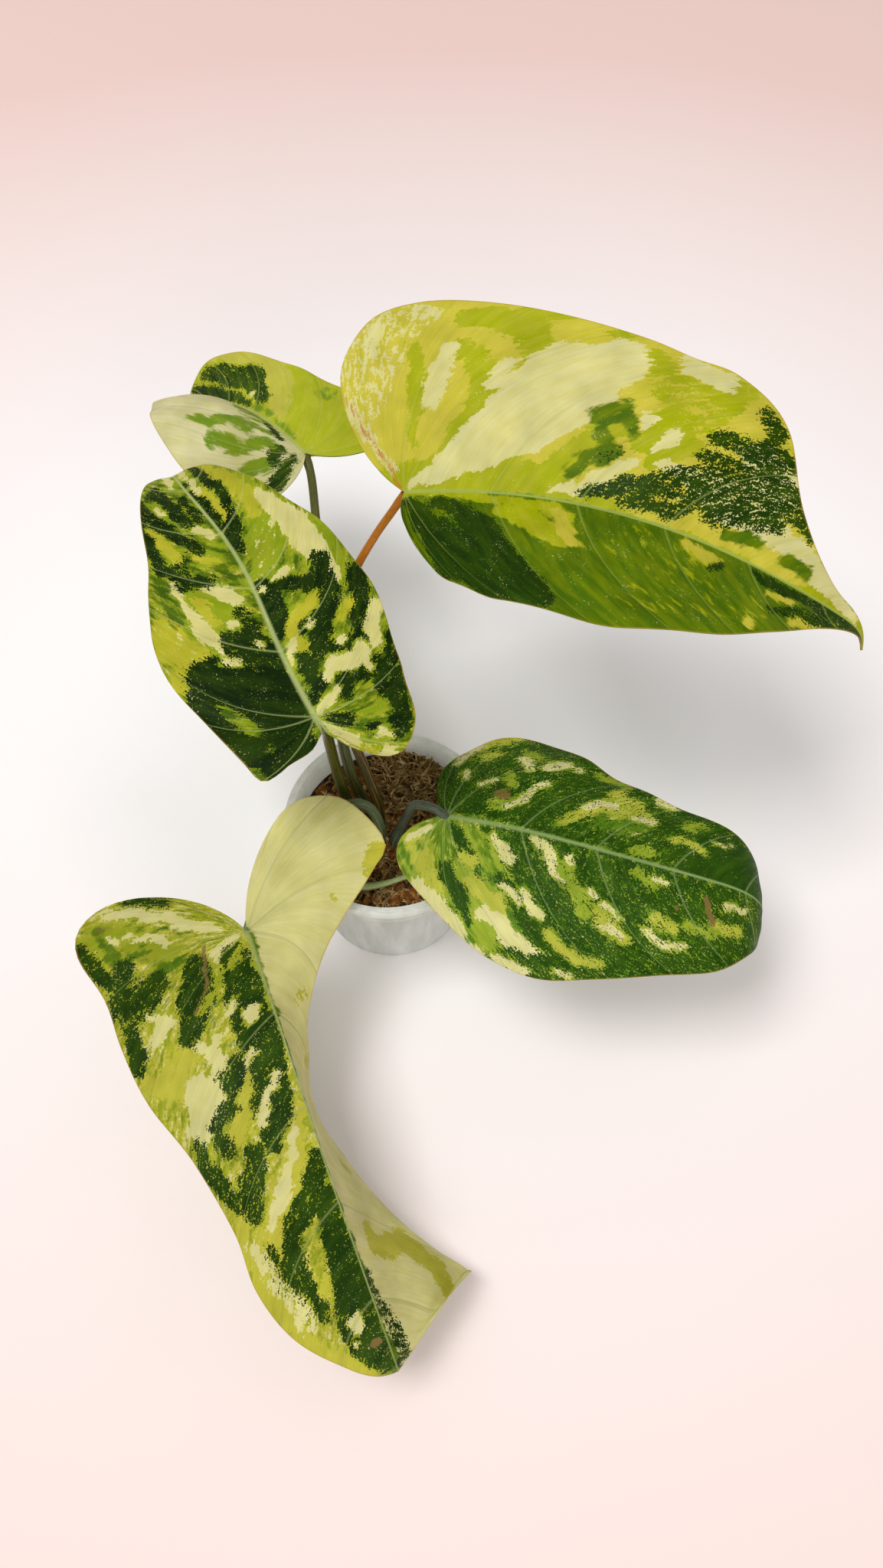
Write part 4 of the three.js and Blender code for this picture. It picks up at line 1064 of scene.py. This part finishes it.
def stalk_material(name, low, high, stripe, rise):
    """A leaf stalk: smooth, fleshy, with long fine ridges in a second green; its colour turns over rise."""
    material, add = new_material(name)
    stem = add("Attribute", attribute_name="stem").outputs["Vector"]
    height = add("SeparateXYZ", {0: stem}).outputs["Z"]
    # Of each pattern about six times the first number lie round the stem, and the second is its length
    # in mm.
    pattern = {}
    for kind, round_stem, long, detail, roughness in (
        ("ridges", 3.2, 30, 3, 0.6), ("bands", 1.1, 60, 1, 0.5), ("specks", 4, 1.6, 2, 0.5),
    ):
        stretch = {0: stem, 1: (round_stem, round_stem, 1 / long)}
        stretch = add("VectorMath", stretch, operation="MULTIPLY")
        stretch = {"Vector": stretch, "Scale": 1, "Detail": detail, "Roughness": roughness}
        pattern[kind] = add("TexNoise", stretch)
    turn = {0: pattern["bands"], 1: 30, 2: height}
    turn = {0: add("Math", turn, operation="MULTIPLY_ADD"), 1: rise[0], 2: rise[1]}
    turn = add("MapRange", turn, interpolation_type="SMOOTHSTEP")
    line = add("MapRange", {0: pattern["ridges"], 1: 0.48, 2: 0.68, 3: 0, 4: 0.55})
    colour = linear(low)
    for mask, over in ((turn, high), (line, stripe)):
        mix = {0: mask, 6: colour, 7: linear(over)}
        colour = add("Mix", mix, data_type="RGBA").outputs[2]
    shade = add("MapRange", {0: pattern["specks"], 1: 0.3, 2: 0.7, 3: 0.8, 4: 1.2})
    colour = add("VectorMath", {0: colour, 3: shade}, operation="SCALE").outputs[0]
    roughness = add("MapRange", {0: pattern["specks"], 1: 0.3, 2: 0.7, 3: 0.32, 4: 0.48})
    bump = {"Height": pattern["ridges"], "Strength": 0.5, "Distance": 0.3 * MM}
    shader = add("BsdfPrincipled", {
        "Base Color": colour, "Roughness": roughness, "Normal": add("Bump", bump),
        "Specular IOR Level": 0.3,
    })
    add("OutputMaterial", {"Surface": shader})
    return material


def stem_path(drawing):
    """A stem's points from its foot, which is sunk in the coir, to its drawn end."""
    x, y = drawing["foot"]
    return [(x, y, SOIL_LEVEL - STEM_DEPTH + 1), (x, y, SOIL_LEVEL + 2), *drawing["through"], drawing["end"]]


def spun(name, profile, sides):
    """A closed shape turned round the Z axis from (radius, z) pairs."""
    mesh = bpy.data.meshes.new(name)
    points = [(r * MM, 0, z * MM) for r, z in profile]
    mesh.from_pydata(points, [(i, i + 1) for i in range(len(points) - 1)], [])
    obj = put(name, mesh)
    only(obj)
    edit_all(bpy.ops.mesh.spin, steps=sides, angle=2 * math.pi, center=(0, 0, 0), axis=(0, 0, 1))
    return close_up(obj, HARD_EDGE)


def make_pot():
    """The pot turned in one piece: tapered wall, an outward lip with fine rings, and a flat floor."""
    height = POT["height"]
    lip = height - POT["lip_height"]
    base = POT["base_radius"]
    rim = POT["rim_radius"]
    bevel = POT["bevel"]
    step = POT["step"]
    depth = POT["ring_depth"]
    inner_base = base - POT["wall"]
    inner_neck = POT["neck_radius"] - POT["wall"]
    slope = (POT["neck_radius"] - base) / lip
    profile = [(0, POT["recess"]), (base - POT["foot_width"] - bevel, POT["recess"])]
    profile += [(base - POT["foot_width"], 0), (base - bevel, 0), (base, bevel)]
    for z in POT["step_heights"]:
        wall = base + z * slope
        profile += [(wall, z), (wall + step, z + 0.6), (wall + step, z + 1.6), (wall + 0.2, z + 2.2)]
    profile += [(POT["neck_radius"], lip), (rim - bevel, lip), (rim, lip + bevel), (rim, height - 0.5)]
    for k in range(POT["rings"]):
        ring = rim - 0.3 - POT["ring_spacing"] * k
        profile += [(ring, height), (ring - 0.6, height)]
        profile += [(ring - 0.75, height - depth), (ring - 0.95, height - depth)]
    profile += [(rim - 3.7, height), (rim - 4.1, height - 0.5), (inner_neck + 0.5, lip + 1)]
    for z in (lip - 1, lip - 3.4):
        wall = inner_neck - (lip - z) * slope
        profile += [(wall + 0.3, z), (wall, z - 0.5), (wall, z - 1.2)]
    profile += [(inner_base, POT["floor"]), (0, POT["floor"])]
    return spun("clear_pot", profile, 128)


def pot_material():
    """Clear polypropylene, blown thin: milky, wax-like, and smeared up its sides by water and fingers."""
    material, add = new_material("frosted_polypropylene")
    place = add("TexCoord").outputs["Object"]
    # The smears are 5 mm wide and 50 mm tall, the dust in them has grains of 1.5 mm.
    stretch = {0: place, 1: (1 / (5 * MM), 1 / (5 * MM), 1 / (50 * MM))}
    smears = add("VectorMath", stretch, operation="MULTIPLY")
    smears = add("TexNoise", {"Vector": smears, "Scale": 1, "Detail": 3, "Roughness": 0.6})
    dust = add("TexNoise", {"Vector": place, "Scale": 1 / (1.5 * MM), "Detail": 2})
    cloud = add("Mix", {"Factor": 0.25, "A": smears, "B": dust})
    tone = add("MapRange", {0: cloud, 1: 0.35, 2: 0.65})
    tone = {0: tone, 6: linear("#edf0e9"), 7: linear("#fdfefb")}
    colour = add("Mix", tone, data_type="RGBA").outputs[2]
    # More light comes straight through above the coir, most of all at the lip.
    height = add("SeparateXYZ", {0: place}).outputs["Z"]
    clear = {0: height, 1: SOIL_LEVEL * MM, 2: POT["height"] * MM, 3: 0.14, 4: 0.3}
    clear = add("MapRange", clear, interpolation_type="SMOOTHSTEP")
    streaky = add("MapRange", {0: cloud, 1: 0.4, 2: 0.6, 3: 0.06, 4: -0.06})
    clear = add("Math", {0: clear, 1: streaky}, operation="ADD")
    roughness = add("MapRange", {0: cloud, 1: 0.35, 2: 0.65, 3: 0.28, 4: 0.45})
    shader = add("BsdfPrincipled", {
        "Base Color": colour, "Roughness": roughness, "IOR": 1.49, "Transmission Weight": clear,
        "Specular IOR Level": 0.4,
    })
    glow = add("BsdfTranslucent", {"Color": colour})
    add("OutputMaterial", {"Surface": add("MixShader", {0: 0.42, 1: shader, 2: glow})})
    return material


def ground(x, y):
    """The height of the coir's surface: a mound 4 mm high toward the back, lumps 7 mm across, rough skin."""
    mound = 4 * math.exp(-((x - 14) ** 2 + (y - 24) ** 2) / 400)
    lumps = 0.9 * noise.noise((x / 7, y / 7, 1))
    rough = 0.8 * noise.fractal((x / 2.5, y / 2.5, 3), 1, 2, 4)
    return SOIL_LEVEL - 0.6 + mound + lumps + rough


def make_soil():
    """The bulk of the coir: a filled cone frustum with a rough top."""
    inner = POT["neck_radius"] - POT["wall"] - 1
    base = POT["base_radius"] - POT["wall"] - 0.3
    rings = 60
    profile = [(0, 2), (base, 2), (inner, SOIL_LEVEL - 1.2)]
    profile += [(inner * (1 - k / rings), SOIL_LEVEL) for k in range(1, rings + 1)]
    obj = spun("coir_bulk", profile, 160)
    for v in obj.data.vertices:
        x, y, z = v.co / MM
        if z > SOIL_LEVEL - 0.5:
            v.co.z = ground(x, y) * MM
    return obj


def scatter(rng, reach):
    """A place on the coir, clear of the pot's wall."""
    radius = reach * math.sqrt(rng.random())
    angle = rng.uniform(0, 2 * math.pi)
    return radius * math.cos(angle), radius * math.sin(angle)


def make_fibres():
    """Curled coir fibres lying on the surface, with a loose tuft where they stand up at the back."""
    rng = random.Random(4)
    paths = []
    for k in range(FIBRES):
        tuft = k % TUFT_EVERY == 0
        if tuft:
            x, y = rng.gauss(TUFT["x"], TUFT["wide"]), rng.gauss(TUFT["y"], TUFT["deep"])
        else:
            x, y = scatter(rng, FIBRE_REACH)
        if math.hypot(x, y) > FIBRE_REACH:
            continue
        heading = rng.uniform(0, 2 * math.pi)
        bend = rng.uniform(-0.5, 0.5)
        climb = rng.uniform(0.3, 1.3) if tuft else rng.uniform(-0.05, 0.35)
        z = ground(x, y) + rng.uniform(-0.4, 0.5)
        radius = rng.uniform(0.25, 0.65)
        length = rng.randint(6, 11)
        path = []
        for i in range(length):
            thin = 1 - 0.6 * (i / length) ** 2
            path.append((x, y, z, radius * thin))
            x += FIBRE_STEP * math.cos(heading)
            y += FIBRE_STEP * math.sin(heading)
            z = max(z + climb, ground(x, y) - 0.2)
            heading += bend + rng.uniform(-0.35, 0.35)
            climb -= rng.uniform(0.02, 0.18)
            if math.hypot(x, y) > FIBRE_EDGE:
                break
        if len(path) > 2:
            paths.append(path)
    return mesh_from_curve("coir_fibres", paths, 0)


def make_chips():
    """Broken pieces of husk: flattened lumps with torn sides, half sunk in the fibres."""
    rng = random.Random(9)
    work = bmesh.new()
    for k in range(CHIPS):
        x, y = scatter(rng, CHIP_REACH)
        size = Vector([rng.uniform(least, most) for least, most in CHIP_SIZE]) * MM
        turn = Matrix.Rotation(rng.uniform(0, 6.3), 4, "Z") @ Matrix.Rotation(rng.uniform(-0.6, 0.6), 4, "X")
        for v in bmesh.ops.create_icosphere(work, subdivisions=2, radius=1)["verts"]:
            rugged = 1 + 0.45 * noise.fractal(v.co * 1.4 + Vector((k, 0, 0)), 1, 2, 3)
            local = Vector([v.co[i] * size[i] * rugged for i in range(3)])
            v.co = turn @ local + Vector((x, y, ground(x, y) + 0.3)) * MM
    mesh = bpy.data.meshes.new("coir_chips")
    work.to_mesh(mesh)
    work.free()
    obj = put("coir_chips", mesh)
    only(obj)
    bpy.ops.object.shade_smooth_by_angle(angle=math.radians(HARD_EDGE))
    return obj


def coir_material(name, dark, middle, pale):
    """Coconut husk, damp: dull brown fibre, nearly black in the gaps and straw-coloured where it dries."""
    material, add = new_material(name)
    place = add("TexCoord").outputs["Object"]
    # Pieces of 4 mm differ in tone, and each has a grain of 0.6 mm.
    pieces = add("TexNoise", {"Vector": place, "Scale": 1 / (4 * MM), "Detail": 3, "Roughness": 0.6})
    grain = add("TexNoise", {"Vector": place, "Scale": 1 / (0.6 * MM), "Detail": 2})
    both = add("Mix", {"Factor": 0.3, "A": pieces, "B": grain})
    colour = linear(dark)
    for start, over in ((0.36, middle), (0.5, pale)):
        mask = add("MapRange", {0: both, 1: start, 2: start + 0.14})
        mix = {0: mask, 6: colour, 7: linear(over)}
        colour = add("Mix", mix, data_type="RGBA").outputs[2]
    bump = add("Bump", {"Height": grain, "Strength": 0.6, "Distance": 0.3 * MM})
    shader = add("BsdfPrincipled", {
        "Base Color": colour, "Roughness": 0.85, "Normal": bump, "Specular IOR Level": 0.2,
    })
    add("OutputMaterial", {"Surface": shader})
    return material


def place(obj, node, slot, material):
    """Hands a finished piece to the frame in the place of its CAD node."""
    obj.data.materials.clear()
    obj.data.materials.append(material)
    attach(obj, "root")
    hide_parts(node)


def under_joint(letter):
    """Where a stalk ends: just below the blade's skin at the joint."""
    blade = Blade(letter)
    drop = 1.1 * blade.drawing["stalk"]["radius"][-1]
    return tuple(blade.centre[blade.joint] - blade.up[blade.joint] * drop)


def make_plant():
    for letter, drawing in LEAVES.items():
        place(make_blade(letter), "blade_" + letter, LOOKS[letter]["slot"], leaf_material(letter))
        slot, *colours = STALK_LOOKS[letter]
        path = stem_path(drawing["stalk"]) + [under_joint(letter)]
        stem = tube("petiole_" + letter, path, drawing["stalk"]["radius"])
        place(stem, "stalk_" + letter, slot, stalk_material("petiole_skin_" + letter, *colours))
    shoot = tube("young_shoot", stem_path(SHOOT), SHOOT["radius"])
    slot, *colours = SHOOT_LOOK
    place(shoot, "shoot", slot, stalk_material("shoot_skin", *colours))
    place(make_pot(), "pot", "clear_plastic", pot_material())
    for make, name, *colours in (
        (make_soil, "coir_bulk", "#1d130a", "#3c2814", "#5e4526"),
        (make_fibres, "coir_fibre", "#54401e", "#9a7a48", "#dcc08a"),
        (make_chips, "husk_chips", "#42230a", "#78481c", "#a9793c"),
    ):
        place(make(), "soil", "coir", coir_material(name, *colours))


def floor_material():
    """White card that turns to a faint pink away from the plant."""
    material, add = new_material("white_card")
    place = add("TexCoord").outputs["Object"]
    place = add("VectorMath", {0: place, 1: (0.025, 0.17, 0)}, operation="SUBTRACT")
    place = add("VectorMath", {0: place, 1: (1 / 0.6, 1 / 0.49, 0)}, operation="MULTIPLY")
    far = add("VectorMath", {0: place}, operation="LENGTH").outputs["Value"]
    mottle = add("TexNoise", {"Vector": place, "Scale": 4, "Detail": 2})
    far = add("Math", {0: mottle, 1: 0.04, 2: far}, operation="MULTIPLY_ADD")
    far = add("MapRange", {0: far, 1: 0.34, 2: 1.3})
    pink = {0: far, 6: linear("#fdfbfb"), 7: linear("#f2d3cb")}
    colour = add("Mix", pink, data_type="RGBA").outputs[2]
    add("OutputMaterial", {"Surface": add("BsdfPrincipled", {"Base Color": colour, "Roughness": 0.9})})
    return material


def make_stage():
    """The floor, two large soft lamps and an even pale sky."""
    bpy.ops.object.select_all(action="DESELECT")
    bpy.ops.mesh.primitive_plane_add(size=FLOOR_WIDTH)
    floor = bpy.context.object
    floor.name = "floor"
    floor.data.materials.append(floor_material())
    for name, (watts, size, direction) in LAMPS.items():
        light = bpy.data.lights.new(name, "AREA")
        light.energy = watts
        light.size = size
        lamp = put(name, light)
        lamp.location = Vector(direction).normalized() * LAMP_DISTANCE
        lamp.rotation_euler = (lamp.location - Vector(LAMP_TARGET)).to_track_quat("Z", "Y").to_euler()
    world = bpy.data.worlds.new("studio")
    world.use_nodes = True
    sky = world.node_tree.nodes["Background"].inputs
    sky["Color"].default_value = SKY
    sky["Strength"].default_value = SKY_STRENGTH
    bpy.context.scene.world = world
    bpy.context.scene.view_settings.view_transform = "Standard"


def make_camera():
    """The photograph's camera."""
    data = bpy.data.cameras.new("photo_camera")
    data.sensor_fit = "VERTICAL"
    data.sensor_height = SENSOR_HEIGHT
    data.lens = FOCAL_PIXELS / PHOTO_HEIGHT * SENSOR_HEIGHT
    camera = put("photo_camera", data)
    camera.location = Vector(CAMERA_PLACE) * MM
    camera.rotation_euler = (math.radians(CAMERA_TILT), 0, 0)
    bpy.context.scene.camera = camera


make_camera()
make_stage()
make_plant()
